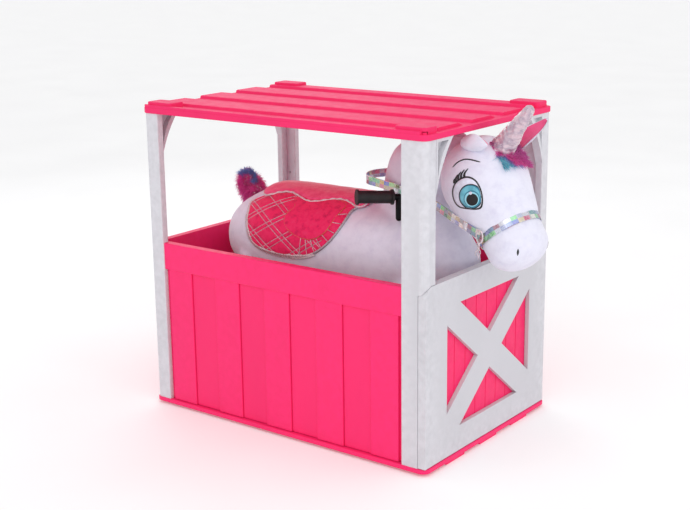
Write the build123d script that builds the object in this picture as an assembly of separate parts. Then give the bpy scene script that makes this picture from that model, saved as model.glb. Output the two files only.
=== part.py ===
from build123d import *
import os
from math import atan2, cos, degrees, hypot, radians, sin

# A plush unicorn battery ride-on parked in its moulded toy stable.
# Millimetres.  +X is the way the unicorn faces, +Y is its left, +Z is up.
# The origin is on the ground at the centre of the stable's footprint.

os.makedirs("parts", exist_ok=True)

# ---- driving dimensions: the stable ------------------------------------------------
STABLE_LENGTH = 949.0
STABLE_WIDTH = 624.0
ROOF_UNDERSIDE = 860.0
FLOOR_TOP = 19.0
RUNNER_HEIGHT = 8.0
RUNNER_WIDTH = 88.0
RUNNER_PITCH = 167.0
LIP = 3.5                       # how far floor and roof stand out past the posts
CORNER_RADIUS = 18.0

LEG_THICKNESS = 22.0            # posts are L-shaped in plan
FRONT_POST_SIDE_LEG = 73.5
REAR_POST_SIDE_LEG = 53.5
POST_END_LEG = 45.0
REAR_POST_SEAM = 252.0

PANEL_TOP = 490.0
PANEL_BOTTOM = 21.0
PANEL_BAND = 77.0               # plain band along the top of a wall panel
PANEL_SETBACK = 4.0
PLANK_COUNT = 9
PLANK_STEP = 4.0                # alternate planks stand back by this much
END_GROOVE = 12.0
PANEL_CORE = 8.0
FLANGE = 6.0                    # inner flange that is screwed to the posts

GATE_TOP = 498.0
GATE_THICKNESS = 22.0
GATE_CORNER = 30.0
GATE_GAP = 1.5
GATE_WINDOW_HALF = 212.0
GATE_WINDOW_BOTTOM = 90.0
GATE_WINDOW_TOP = 427.0
GATE_BAR = 76.6
GATE_BACKING = 10.0
HINGE_PIN_RADIUS = 4.0
RUNNING_FIT = 0.08
HINGE_SWING = 16.8              # clears the gate's corner as it turns about the pins

BOLT_RADIUS = 4.0
BOLT_HEIGHT = 463.0

ROOF_SLAB = 15.0
ROOF_BOARD = 8.0
ROOF_BOARD_COUNT = 4
ROOF_CAP_TOP = 891.0
BRACE_WIDTH = 77.0
BRACE_DROP = 137.0
ROOF_BOLT_RADIUS = 3.0
ROOF_BOLT_HEAD = 6.0
CAP_LENGTH = 92.0
CAP_WIDTH = 56.0

# ---- driving dimensions: the unicorn -----------------------------------------------
BODY_RADIUS = 163.0
BODY_AXIS_HEIGHT = 476.0
BODY_REAR = -430.0
BODY_FRONT = 430.0
NECK_HALF_WIDTH = 80.0
HEAD_YAW = -13.0                # the head is turned a little to its right
HEAD_PIVOT_X = 300.0
SKULL_REACH = 178.0
SKULL_HEIGHT = 727.0
SKULL_RADIUS = 112.0
HEAD_SLOPE = 52.5               # the face points this far below level
MUZZLE_REACH = 195.0
MUZZLE_RADIUS = 79.0
MUZZLE_LENGTH = 60.0
HORN_LENGTH = 139.0
SADDLE_REAR = -275.0
SADDLE_FRONT = 150.0
SADDLE_SEAM = 618.0
FLAP_BOTTOM = 481.0
SEAT_PAD = 12.0
FLAP_PAD = 6.0
FIT = 0.25                      # gap between soft parts that lie on each other

HOOF_TRACK = 145.0

STEER_X = 235.0
COLUMN_RADIUS = 12.0
CROSSBAR_HEIGHT = 612.0
BAR_RADIUS = 9.0
RISER = (258.0, 112.0)
GRIP_HEIGHT = 668.0
BAR_END = (186.0, 197.0, 674.0)
GRIP_RADIUS = 17.0

REAR_AXLE_X = -250.0
REAR_WHEEL_RADIUS = 70.0
FRONT_WHEEL_RADIUS = 55.0
WHEEL_LIFT = 0.4
REAR_AXLE_RADIUS = 6.0
FRONT_AXLE_RADIUS = 5.0

REIN_HALF_GAP = 84.0
REIN_THICKNESS = 2.5
REIN_HEIGHT = 24.0
REIN_LOOP_X = 180.0
REIN_LOOP_Z = 698.0
REIN_KNEE_Z = 660.0
REIN_KNEES = {-1: (340.0, 88.0), 1: (350.0, 94.0)}      # where each side turns towards its ring
REIN_RING_GAP = 97.0

SWITCH_X = (82.0, 118.0)
SWITCH_Y = 164.0
SWITCH_Z = 527.0

# ---- worked out from them ----------------------------------------------------------
HALF_LENGTH = STABLE_LENGTH / 2
HALF_WIDTH = STABLE_WIDTH / 2
GATE_BACK = HALF_LENGTH - GATE_THICKNESS
HINGE_X = HALF_LENGTH - GATE_THICKNESS / 2
HINGE_Y = HALF_WIDTH - GATE_THICKNESS / 2
REAR_AXLE_HEIGHT = FLOOR_TOP + WHEEL_LIFT + REAR_WHEEL_RADIUS
FRONT_AXLE_HEIGHT = FLOOR_TOP + WHEEL_LIFT + FRONT_WHEEL_RADIUS
FORWARD = Vector(cos(radians(HEAD_YAW)), sin(radians(HEAD_YAW)), 0)
LEFTWARD = Vector(-sin(radians(HEAD_YAW)), cos(radians(HEAD_YAW)), 0)
UP = Vector(0, 0, 1)
SKULL = Vector(HEAD_PIVOT_X, 0, SKULL_HEIGHT) + FORWARD * SKULL_REACH
HEAD_AXIS = FORWARD * cos(radians(HEAD_SLOPE)) - UP * sin(radians(HEAD_SLOPE))
BAR_LENGTH = (Vector(*BAR_END) - Vector(*RISER, GRIP_HEIGHT)).length
CORNERS = [(1, -1), (1, 1), (-1, -1), (-1, 1)]
SLAB_TOP = ROOF_UNDERSIDE + ROOF_SLAB
NODES = {}


# ---- shared helpers ----------------------------------------------------------------
def block(x0, x1, y0, y1, z0, z1):
    """A box between two corners."""
    middle = Pos((x0 + x1) / 2, (y0 + y1) / 2, (z0 + z1) / 2)
    return middle * Box(abs(x1 - x0), abs(y1 - y0), abs(z1 - z0))


def rod(start, end, radius):
    """A round bar from one point to another."""
    start = Vector(*start)
    along = Vector(*end) - start
    return extrude(Plane(origin=start, z_dir=along) * Circle(radius), amount=along.length)


def tube(start, end, outer, inner):
    """A round bar with a bore right through it."""
    return rod(start, end, outer) - rod(start, end, inner)


def other_side(shape):
    """The same shape on the unicorn's other side."""
    return mirror(shape, about=Plane.XZ)


def both_sides(shape):
    return [shape, other_side(shape)]


def ellipsoid(centre, radii, turn=(0, 0, 0)):
    """An ellipsoid with its own axes turned about X, Y and Z."""
    ball = scale(Sphere(1), by=radii)
    return Pos(*centre) * Rot(*turn) * ball


def rounded_plate(half_length, half_width, radius, bottom, top):
    outline = RectangleRounded(2 * half_length, 2 * half_width, radius)
    return Pos(0, 0, bottom) * extrude(outline, amount=top - bottom)


def edge_round(shape, axis, radius):
    """Rounds every straight edge that runs along an axis."""
    return fillet(shape.edges().filter_by(axis), radius)


def keep(name, *solids):
    NODES[name] = list(solids)


# ---- stable: floor, posts, braces --------------------------------------------------
def floor_base():
    slab = rounded_plate(HALF_LENGTH + LIP, HALF_WIDTH + LIP, CORNER_RADIUS + LIP, RUNNER_HEIGHT, FLOOR_TOP)
    slab = chamfer(slab.faces().sort_by(Axis.Z)[-1].edges(), 2)
    for lane in (-1, 0, 1):
        middle = lane * RUNNER_PITCH
        half = RUNNER_WIDTH / 2
        runner = block(-HALF_LENGTH, HALF_LENGTH, middle - half, middle + half, 0, RUNNER_HEIGHT)
        slab += runner
    return slab


def angle_post(side_leg, end_leg, web, bottom, top):
    """An L-section post whose rounded outer corner is at the origin, with legs along -X and +Y.

    web is how thick the leg along Y is.
    """
    points = [
        (0, 0), (-side_leg, 0), (-side_leg, LEG_THICKNESS),
        (-web, LEG_THICKNESS), (-web, end_leg), (0, end_leg),
    ]
    section = make_face(Polyline(*points, close=True))
    section = fillet(section.vertices().sort_by_distance((0, 0, 0))[0], CORNER_RADIUS)
    tips = [v for v in section.vertices() if v.X < 1 - side_leg or v.Y > end_leg - 1]
    section = fillet(tips, 3)
    return Pos(0, 0, bottom) * extrude(section, amount=top - bottom)


def gate_outline(grow, back, front):
    """The gate's silhouette as a slab from back to front, larger by grow all round."""
    slab = block(back, front, -HALF_WIDTH - grow, HALF_WIDTH + grow, PANEL_BOTTOM - grow, GATE_TOP + grow)
    top_edges = slab.edges().filter_by(Axis.X).group_by(Axis.Z)[-1]
    return fillet(top_edges, GATE_CORNER + grow)


def front_post():
    """The right front post, rebated below the shoulder for the gate to close against."""
    shoulder = GATE_TOP + 32
    lower_web = GATE_THICKNESS + GATE_GAP + 26
    upper = angle_post(FRONT_POST_SIDE_LEG, POST_END_LEG, LEG_THICKNESS, shoulder, ROOF_UNDERSIDE)
    lower = angle_post(FRONT_POST_SIDE_LEG, POST_END_LEG, lower_web, FLOOR_TOP, shoulder)
    post = Pos(HALF_LENGTH, -HALF_WIDTH, 0) * (upper + lower)
    post -= gate_outline(GATE_GAP, GATE_BACK - GATE_GAP, HALF_LENGTH + 10)
    return post - block(GATE_BACK - GATE_GAP, HALF_LENGTH + 10, -HALF_WIDTH - 10, 0, 0, PANEL_BOTTOM + 10)


def rear_post(bottom, top):
    section = angle_post(REAR_POST_SIDE_LEG, POST_END_LEG, LEG_THICKNESS, bottom, top)
    return mirror(Pos(HALF_LENGTH, -HALF_WIDTH, 0) * section, about=Plane.YZ)


def corner_brace(outer_face):
    """A triangular brace under the roof, beside the right-hand post, in the end opening."""
    inner = -HALF_WIDTH + POST_END_LEG
    top = ROOF_UNDERSIDE
    low = (inner, top - BRACE_DROP)
    high = (inner + BRACE_WIDTH, top)
    bow = (inner + BRACE_WIDTH * 0.42, top - BRACE_DROP * 0.44)
    outline = make_face([
        ThreePointArc(low, bow, high),
        Line(high, (inner, top)),
        Line((inner, top), low),
    ])
    pocket = make_face([
        ThreePointArc((inner + 7, low[1] + 34), (bow[0] - 9, bow[1] + 12), (high[0] - 22, top - 8)),
        Line((high[0] - 22, top - 8), (inner + 7, top - 8)),
        Line((inner + 7, top - 8), (inner + 7, low[1] + 34)),
    ])
    plane = Plane(origin=(outer_face, 0, 0), x_dir=(0, 1, 0), z_dir=(1, 0, 0))
    body = extrude(plane * outline, amount=-LEG_THICKNESS)
    recess = extrude(plane * pocket, amount=-(LEG_THICKNESS - 6))
    return body - recess


# ---- stable: wall panels -----------------------------------------------------------
def plank_panel(start, end, planks):
    """A wall panel along X from start to end whose outer face looks along -Y at y = 0."""
    height = PANEL_TOP - PANEL_BAND
    panel = block(start, end, 10, 10 + PANEL_CORE, PANEL_BOTTOM, PANEL_TOP)
    band = block(start, end, 0, 10, height, PANEL_TOP)
    band = fillet(band.faces().sort_by(Axis.Y)[0].edges().filter_by(Axis.X), 2.5)
    panel += band
    pitch = (end - start - 2 * END_GROOVE) / planks
    for index in range(planks):
        left = start + END_GROOVE + index * pitch
        face = 2 if index % 2 == 0 else 2 + PLANK_STEP
        plank = block(left + 0.6, left + pitch - 0.6, face, 10, PANEL_BOTTOM, height)
        panel += fillet(plank.faces().sort_by(Axis.Y)[0].edges().filter_by(Axis.Z), 1.8)
    flange = block(start - 24, end + 23, 10 + PANEL_CORE, 10 + PANEL_CORE + FLANGE, PANEL_BOTTOM, PANEL_TOP)
    return panel, flange


def side_panel():
    start = -HALF_LENGTH + REAR_POST_SIDE_LEG
    end = HALF_LENGTH - FRONT_POST_SIDE_LEG
    panel, flange = plank_panel(start, end, PLANK_COUNT)
    return Pos(0, PANEL_SETBACK - HALF_WIDTH, 0) * (panel + flange)


def rear_panel():
    half = HALF_WIDTH - POST_END_LEG
    panel, flange = plank_panel(-half, half, PLANK_COUNT - 4)
    flange = flange & block(-half - 20, half + 20, 0, 60, 0, PANEL_TOP)
    turned = Rot(0, 0, -90) * (panel + flange)
    return Pos(PANEL_SETBACK - HALF_LENGTH, 0, 0) * turned


PANEL_INNER = PANEL_SETBACK + 10 + PANEL_CORE + FLANGE      # inner face of a panel flange


def screw(head_at, inward):
    """A pan-head screw whose head sits on a face and whose shank runs the way inward points."""
    head_at = Vector(*head_at)
    inward = Vector(*inward)
    head = rod(tuple(head_at - inward * 3), tuple(head_at), 5)
    return head + rod(tuple(head_at), tuple(head_at + inward * 14), 2.1)


def panel_screw_places():
    """Where the wall panels are screwed to the posts on the right-hand side."""
    y = -HALF_WIDTH + PANEL_INNER
    rear_x = -HALF_LENGTH + REAR_POST_SIDE_LEG - 12
    front_x = HALF_LENGTH - FRONT_POST_SIDE_LEG + 11
    return [(x, y, z) for x in (rear_x, front_x) for z in (80, 330, 460)]


# ---- stable: roof ------------------------------------------------------------------
def roof_panel():
    half_length = HALF_LENGTH + LIP
    half_width = HALF_WIDTH + LIP
    top = ROOF_UNDERSIDE + ROOF_SLAB
    slab = rounded_plate(half_length, half_width, CORNER_RADIUS + LIP, ROOF_UNDERSIDE, top)
    slab = fillet(slab.edges().group_by(Axis.Z)[0], 2.5)
    pitch = 2 * half_width / ROOF_BOARD_COUNT
    near = -half_width + pitch / 2
    lanes = [(-half_width + 1, near - 38)]
    for index in range(ROOF_BOARD_COUNT):
        start = near + index * pitch
        lanes.append((start, min(start + pitch - 38, half_width - 1)))
    corner_bound = rounded_plate(
        half_length - 1, half_width - 1, CORNER_RADIUS + LIP - 1, top - 1, top + ROOF_BOARD + 1,
    )
    for start, end in lanes:
        section = make_face(Polyline(
            (start, top - 1),
            (start + 3, top + ROOF_BOARD - 1),
            (start + 8, top + ROOF_BOARD),
            (max(end - 26, start + 10), top + ROOF_BOARD),
            (end, top - 1),
            close=True,
        ))
        plane = Plane(origin=(-half_length + 3, 0, 0), x_dir=(0, 1, 0), z_dir=(1, 0, 0))
        board = extrude(plane * section, amount=2 * half_length - 24)
        slab += board & corner_bound
    return slab


def cap_place(x_sign, y_sign):
    return x_sign * (HALF_LENGTH - 53), y_sign * (HALF_WIDTH - 36)


def bolt_place(x_sign, y_sign):
    inset = LEG_THICKNESS / 2
    return x_sign * (HALF_LENGTH - inset - 3), y_sign * (HALF_WIDTH - inset - 3)


def roof_corner_cap(x_sign, y_sign):
    x, y = cap_place(x_sign, y_sign)
    outline = RectangleRounded(CAP_LENGTH, CAP_WIDTH, 10)
    cap = Pos(x, y, SLAB_TOP) * extrude(outline, amount=ROOF_CAP_TOP - SLAB_TOP)
    cap = fillet(cap.edges().group_by(Axis.Z)[-1], 3)
    bolt_x, bolt_y = bolt_place(x_sign, y_sign)
    low = ROOF_UNDERSIDE + ROOF_SLAB
    return cap - rod((bolt_x, bolt_y, low), (bolt_x, bolt_y, low + 7), 8)


def roof_bolt(x_sign, y_sign):
    x, y = bolt_place(x_sign, y_sign)
    shank = rod((x, y, SLAB_TOP - 45), (x, y, SLAB_TOP), ROOF_BOLT_RADIUS)
    return shank + rod((x, y, SLAB_TOP), (x, y, SLAB_TOP + 5), ROOF_BOLT_HEAD)


def roof_bolt_hole(x_sign, y_sign):
    """The bolt's hole through roof and post, with room for its head."""
    x, y = bolt_place(x_sign, y_sign)
    hole = rod((x, y, SLAB_TOP - 65), (x, y, SLAB_TOP + 15), ROOF_BOLT_RADIUS + 0.1)
    return hole + rod((x, y, SLAB_TOP), (x, y, SLAB_TOP + 15), ROOF_BOLT_HEAD + 0.4)


def build_stable():
    bolt_holes = [roof_bolt_hole(*corner) for corner in CORNERS]
    caps = [roof_corner_cap(*corner) for corner in CORNERS]
    screw_holes = [rod((x, y - 20, z), (x, y + 1, z), 2.2) for x, y, z in panel_screw_places()]
    screw_holes += [other_side(hole) for hole in screw_holes]
    peephole_x = -HALF_LENGTH + 32
    peephole = rod((peephole_x, -HALF_WIDTH + 12, 600), (peephole_x, -HALF_WIDTH + 30, 600), 3)

    pin_fit = HINGE_PIN_RADIUS + 0.05
    keep("floor_base", floor_base() - rod((HINGE_X, HINGE_Y, 8.5), (HINGE_X, HINGE_Y, 20), pin_fit))
    post = front_post()
    pin_hole = rod((HINGE_X, HINGE_Y, GATE_TOP - 30), (HINGE_X, HINGE_Y, GATE_TOP + 22), pin_fit)
    shoulder_height = GATE_TOP + GATE_GAP
    swing_bottom = GATE_TOP - GATE_CORNER - 5
    swing_room = rod((HINGE_X, HINGE_Y, swing_bottom), (HINGE_X, HINGE_Y, shoulder_height), HINGE_SWING)
    keeper_hole = rod(
        (GATE_BACK - 12, -HALF_WIDTH + 20, BOLT_HEIGHT),
        (GATE_BACK - 12, -HALF_WIDTH + 60, BOLT_HEIGHT),
        BOLT_RADIUS + 1.5,
    )
    keep("front_right_post", cut(post, bolt_holes + screw_holes + [keeper_hole]))
    keep("front_left_post", cut(other_side(post), bolt_holes + screw_holes + [pin_hole, swing_room]))
    lower = cut(rear_post(FLOOR_TOP, REAR_POST_SEAM), screw_holes)
    upper = cut(rear_post(REAR_POST_SEAM, ROOF_UNDERSIDE), bolt_holes + screw_holes + [peephole])
    keep("rear_right_post_lower", lower)
    keep("rear_right_post_upper", upper)
    keep("rear_left_post_lower", other_side(lower))
    keep("rear_left_post_upper", other_side(upper))
    keep("front_corner_braces", *both_sides(corner_brace(HALF_LENGTH)))
    rear_brace = Pos(-STABLE_LENGTH + LEG_THICKNESS, 0, 0) * corner_brace(HALF_LENGTH)
    keep("rear_corner_braces", *both_sides(rear_brace))
    wall = cut(side_panel(), screw_holes)
    keep("right_side_panel", wall)
    keep("left_side_panel", other_side(wall))
    keep("rear_panel", rear_panel())
    roof = cut(roof_panel(), bolt_holes)
    for corner in CORNERS:
        x, y = cap_place(*corner)
        low = ROOF_UNDERSIDE + ROOF_SLAB
        roof -= Pos(x, y, low) * extrude(RectangleRounded(92.2, 56.2, 10.1), amount=20)
    keep("roof_panel", roof)
    keep("roof_corner_caps", *caps)
    keep("roof_bolts", *[roof_bolt(*corner) for corner in CORNERS])
    right_screws = [screw(place, (0, -1, 0)) for place in panel_screw_places()]
    keep("panel_screws", *right_screws, *[other_side(one) for one in right_screws])
    lower_pin = rod((HINGE_X, HINGE_Y, 9), (HINGE_X, HINGE_Y, 62), HINGE_PIN_RADIUS)
    upper_pin = rod((HINGE_X, HINGE_Y, 430), (HINGE_X, HINGE_Y, GATE_TOP + 20), HINGE_PIN_RADIUS)
    keep("gate_hinge_pins", lower_pin, upper_pin)
    plate_y = -HALF_WIDTH + POST_END_LEG
    plate = block(GATE_BACK - 24, GATE_BACK - 1.5, plate_y, plate_y + 3, BOLT_HEIGHT - 18, BOLT_HEIGHT + 18)
    bolt_x = GATE_BACK - 12
    hole = rod((bolt_x, plate_y - 1, BOLT_HEIGHT), (bolt_x, plate_y + 4, BOLT_HEIGHT), BOLT_RADIUS + 1)
    keep("gate_keeper", plate - hole)


def cut(shape, tools):
    for tool in tools:
        shape = shape - tool
    return shape


# ---- gate --------------------------------------------------------------------------
def gate_windows():
    """The four triangular openings between the gate's crossed bars."""
    middle = (GATE_WINDOW_BOTTOM + GATE_WINDOW_TOP) / 2
    height = GATE_WINDOW_TOP - GATE_WINDOW_BOTTOM
    width = 2 * GATE_WINDOW_HALF
    tilt = degrees(atan2(height, width))
    window = block(
        GATE_BACK - 1, HALF_LENGTH + 1,
        -GATE_WINDOW_HALF, GATE_WINDOW_HALF, GATE_WINDOW_BOTTOM, GATE_WINDOW_TOP,
    )
    for turn in (tilt, -tilt):
        bar = Pos(HINGE_X, 0, middle) * Rot(turn, 0, 0) * Box(60, 2 * hypot(width, height), GATE_BAR)
        window -= bar
    return window


def build_gate():
    backing_half = GATE_WINDOW_HALF + 20
    backing_low = GATE_WINDOW_BOTTOM - 20
    backing_high = GATE_WINDOW_TOP + 20
    frame = gate_outline(0, GATE_BACK, HALF_LENGTH)
    frame -= block(GATE_BACK - 1, HALF_LENGTH + 1, HINGE_Y, HALF_WIDTH + 1, 0, GATE_TOP + 1)
    barrel_top = GATE_TOP - GATE_CORNER
    frame += rod((HINGE_X, HINGE_Y, PANEL_BOTTOM), (HINGE_X, HINGE_Y, barrel_top), GATE_THICKNESS / 2)
    seat = block(
        GATE_BACK - 1, GATE_BACK + GATE_BACKING + 0.2,
        -backing_half - 0.2, backing_half + 0.2, backing_low - 0.2, backing_high + 0.2,
    )
    frame -= seat
    frame -= gate_windows()
    bore = HINGE_PIN_RADIUS + RUNNING_FIT
    frame -= rod((HINGE_X, HINGE_Y, 0), (HINGE_X, HINGE_Y, 70), bore)
    frame -= rod((HINGE_X, HINGE_Y, 425), (HINGE_X, HINGE_Y, GATE_TOP + 5), bore)
    keep("gate_frame", frame)

    backing = block(
        GATE_BACK, GATE_BACK + GATE_BACKING, -backing_half, backing_half, backing_low, backing_high,
    )
    for index in range(-4, 5):
        y = index * 53
        groove = block(GATE_BACK + GATE_BACKING - 1.5, HALF_LENGTH, y - 1.5, y + 1.5, 0, GATE_TOP)
        backing -= groove
    keep("gate_backing_panel", backing)

    bolt_x = GATE_BACK - 12
    guides = []
    for y in (-252, -196):
        guide = block(bolt_x - 9, GATE_BACK, y, y + 14, BOLT_HEIGHT - 11, BOLT_HEIGHT + 11)
        guide = fillet(guide.faces().sort_by(Axis.X)[0].edges().filter_by(Axis.Y), 4)
        bore = rod((bolt_x, y - 1, BOLT_HEIGHT), (bolt_x, y + 15, BOLT_HEIGHT), BOLT_RADIUS + RUNNING_FIT)
        guides.append(guide - bore)
    keep("gate_bolt_guides", *guides)
    shaft = rod((bolt_x, -255, BOLT_HEIGHT), (bolt_x, -170, BOLT_HEIGHT), BOLT_RADIUS)
    stem = rod((bolt_x, -212, BOLT_HEIGHT), (bolt_x - 20, -212, BOLT_HEIGHT), BOLT_RADIUS - 1)
    knob = rod((bolt_x - 18, -212, BOLT_HEIGHT), (bolt_x - 30, -212, BOLT_HEIGHT), 7)
    keep("gate_bolt", shaft + stem + fillet(knob.edges().filter_by(GeomType.CIRCLE), 3))


# ---- unicorn: soft shapes ----------------------------------------------------------
def body_shape(grow):
    """The barrel of the body, turned about a level line, larger by grow."""
    r = BODY_RADIUS + grow
    rear = BODY_REAR - grow
    front = BODY_FRONT + grow
    rump = 175 + grow
    chest = 285 + grow
    outline = [
        EllipticalCenterArc((rear + rump, 0), rump, r, start_angle=90, arc_size=90),
        Line((rear + rump, r), (front - chest, r)),
        EllipticalCenterArc((front - chest, 0), chest, r, start_angle=0, arc_size=90),
        Line((front, 0), (rear, 0)),
    ]
    half = make_face(outline)
    turned = Plane(origin=(0, 0, BODY_AXIS_HEIGHT), x_dir=(1, 0, 0), z_dir=(0, -1, 0)) * half
    return revolve(turned, Axis((0, 0, BODY_AXIS_HEIGHT), (1, 0, 0)), 360)


def neck_shape(grow):
    """The neck as a loft of level ellipses: height, middle, half length, half width."""
    sections = [
        (540, 275, 135, 100),
        (640, 263, 107, NECK_HALF_WIDTH - 2),
        (715, 283, 112, NECK_HALF_WIDTH + 1),
        (785, 303, 106, NECK_HALF_WIDTH + 1),
        (833, 325, 62, 44),
    ]
    rings = [
        Pos(middle, 0, z) * Ellipse(along + grow, across + grow)
        for z, middle, along, across in sections
    ]
    return loft(rings)


def head_shape(grow):
    """Skull, cheeks and muzzle as one turned shape about the line from skull to muzzle."""
    r = SKULL_RADIUS + grow
    muzzle = MUZZLE_RADIUS + grow
    end = MUZZLE_REACH + MUZZLE_LENGTH + grow
    outline = [
        CenterArc((0, 0), r, 90, 90),
        Spline((0, r), (MUZZLE_REACH, muzzle), tangents=[(1, 0), (1, 0)], tangent_scalars=(0.9, 0.9)),
        EllipticalCenterArc((MUZZLE_REACH, 0), MUZZLE_LENGTH + grow, muzzle, start_angle=0, arc_size=90),
        Line((end, 0), (-r, 0)),
    ]
    half = make_face(outline)
    side = LEFTWARD
    plane = Plane(origin=SKULL, x_dir=HEAD_AXIS, z_dir=side)
    return revolve(plane * half, Axis(SKULL, HEAD_AXIS), 360)


def leg_pair(x, knee_lean):
    """Two straight padded legs that run up into the body."""
    foot = (x, -HOOF_TRACK, 96)
    hip = (x + knee_lean, -112, 430)
    along = Vector(*hip) - Vector(*foot)
    lower = Plane(origin=foot, z_dir=along) * Circle(43)
    upper = Plane(origin=hip, z_dir=along) * Circle(56)
    leg = loft([lower, upper]) - body_shape(FIT) - block(x - 90, x + 90, -200, 200, 0, 100)
    return both_sides(leg)


def hoof(x):
    cup = Pos(x, -HOOF_TRACK, 27) * Cone(50, 44, 72.5, align=(Align.CENTER, Align.CENTER, Align.MIN))
    return fillet(cup.edges().group_by(Axis.Z)[0], 4)


def body_room():
    """The hollow inside the padding that the chassis, steering and drive fill."""
    room = block(-342, 262, -46, 46, 374, 530)
    room += block(-296, -204, -46, 46, 290, 380)
    room += rod((STEER_X, 0, 280), (STEER_X, 0, 600), 24)
    room += steering_room()
    return room


def steering_room():
    """The sideways slot that the crossbar swings in."""
    return block(196, 294, -135, 135, CROSSBAR_HEIGHT - 20, CROSSBAR_HEIGHT + 20)


def build_plush():
    body = body_shape(0)
    body_clear = body_shape(FIT)
    head = head_shape(0)
    head_clear = head_shape(FIT)
    switch_seat = block(60, 140, 120, 200, 505, 550)
    keep("torso_plush", body - body_room() - switch_seat)
    neck = cut(neck_shape(0), [body_shape(3 * FIT), head_clear, steering_room()])
    keep("neck_plush", neck.solids().sort_by(SortBy.VOLUME)[-1])
    keep("head_plush", head)
    keep("front_legs", *leg_pair(306, -10))
    keep("rear_legs", *leg_pair(-312, 8))
    keep("hooves", *both_sides(hoof(306)), *both_sides(hoof(-312)))

    horn_foot = SKULL + FORWARD * 60 + UP * 84
    horn_way = FORWARD * 0.632 + UP * 0.775
    ring = Plane(origin=horn_foot, z_dir=horn_way)
    tip_ring = Plane(origin=horn_foot + horn_way * HORN_LENGTH, z_dir=horn_way)
    horn = loft([ring * Circle(33), tip_ring * Circle(12)])
    horn += Pos(*tip_ring.origin) * Sphere(12)
    keep("horn", horn - head_clear)

    right_ear = ellipsoid((492, -116, 829), (42, 24, 22), (0, -8, -13)) - head_clear - neck_shape(FIT)
    left_ear = ellipsoid((570, 34, 846), (50, 24, 15), (0, -46, 20)) - head_clear
    keep("ears", right_ear, left_ear)
    tuft = ellipsoid(tuple(SKULL + FORWARD * 92 + UP * 66), (40, 50, 24), (0, 42, HEAD_YAW))
    keep("forelock", tuft - head_clear - loft([ring * Circle(33.5), tip_ring * Circle(12.5)]))
    mane = (neck_shape(16) - neck_shape(FIT)) & block(150, 330, 12, 120, 716, 832)
    keep("mane", mane - head_clear)
    tail = ellipsoid((-372, 0, 590), (88, 40, 36), (0, -54, 0))
    keep("tail", tail - body_clear)


def saddle_shell(inner, outer, *box):
    return (body_shape(outer) - body_shape(inner)) & block(*box)


def build_tack():
    """Saddle, bridle and reins."""
    neck_clear = neck_shape(2 * FIT)
    seat = saddle_shell(FIT, SEAT_PAD, SADDLE_REAR, SADDLE_FRONT, -200, 200, SADDLE_SEAM, 700) - neck_clear
    keep("saddle_seat", seat)
    flap = saddle_shell(
        FIT, FLAP_PAD, SADDLE_REAR + 30, SADDLE_FRONT, -200, 0, FLAP_BOTTOM, SADDLE_SEAM - 0.3,
    )
    left = other_side(flap) - block(56, 144, 100, 220, 501, 554)
    keep("saddle_flaps", flap - neck_clear, left - neck_clear)

    band_place = 150.0
    plane = Plane(origin=SKULL + HEAD_AXIS * (band_place - 11), z_dir=HEAD_AXIS)
    band_slab = extrude(plane * Circle(130), amount=22)
    keep("noseband", (head_shape(2.8) - head_shape(FIT)) & band_slab)
    keep("reins", reins())


def rein_ring(side):
    """Where a rein meets the noseband on one side of the muzzle."""
    return SKULL + HEAD_AXIS * 150 + LEFTWARD * (side * REIN_RING_GAP) - FORWARD * 14


def rein_plan(shift):
    """The area inside the reins seen from above, wider by shift, closed ahead of the muzzle."""
    y = REIN_HALF_GAP + shift
    points = {}
    for side in (-1, 1):
        ring = rein_ring(side)
        knee_x, knee_y = REIN_KNEES[side]
        reach = ring - Vector(knee_x, side * knee_y, 0)
        end = Vector(knee_x, side * knee_y, 0) + reach * 1.4
        points[side] = [
            (REIN_LOOP_X, side * y),
            (knee_x, side * (knee_y + shift)),
            (end.X, end.Y + side * shift),
        ]
    right = Polyline(*points[-1])
    left = Polyline(*points[1])
    loop = ThreePointArc(points[-1][0], (REIN_LOOP_X - y, 0), points[1][0])
    closing = Line(points[-1][-1], points[1][-1])
    return make_face([right, closing, left, loop])


def rein_side(side):
    """One side's strap seen from the side, as a slab across half the reins."""
    ring = rein_ring(side)
    knee_x = REIN_KNEES[side][0]
    line = [(0, REIN_LOOP_Z), (REIN_LOOP_X, REIN_LOOP_Z), (knee_x, REIN_KNEE_Z), (ring.X, ring.Z)]
    half = REIN_HEIGHT / 2
    upper = [(x, z + half) for x, z in line]
    lower = [(x, z - half) for x, z in reversed(line)]
    face = Plane.XZ * make_face(Polyline(*upper, *lower, close=True))
    return extrude(face, amount=-side * 200)


def reins():
    """One strap from ring to ring that passes behind the neck above the handlebar."""
    half = REIN_THICKNESS / 2
    wall = Pos(0, 0, 520) * extrude(rein_plan(half) - rein_plan(-half), amount=220)
    return (wall & rein_side(-1)) + (wall & rein_side(1))


# ---- unicorn: chassis and drive ----------------------------------------------------
def rear_axle_rod(start, end, radius):
    """A rod on the rear axle's line from one y to another."""
    return rod((REAR_AXLE_X, start, REAR_AXLE_HEIGHT), (REAR_AXLE_X, end, REAR_AXLE_HEIGHT), radius)


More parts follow.
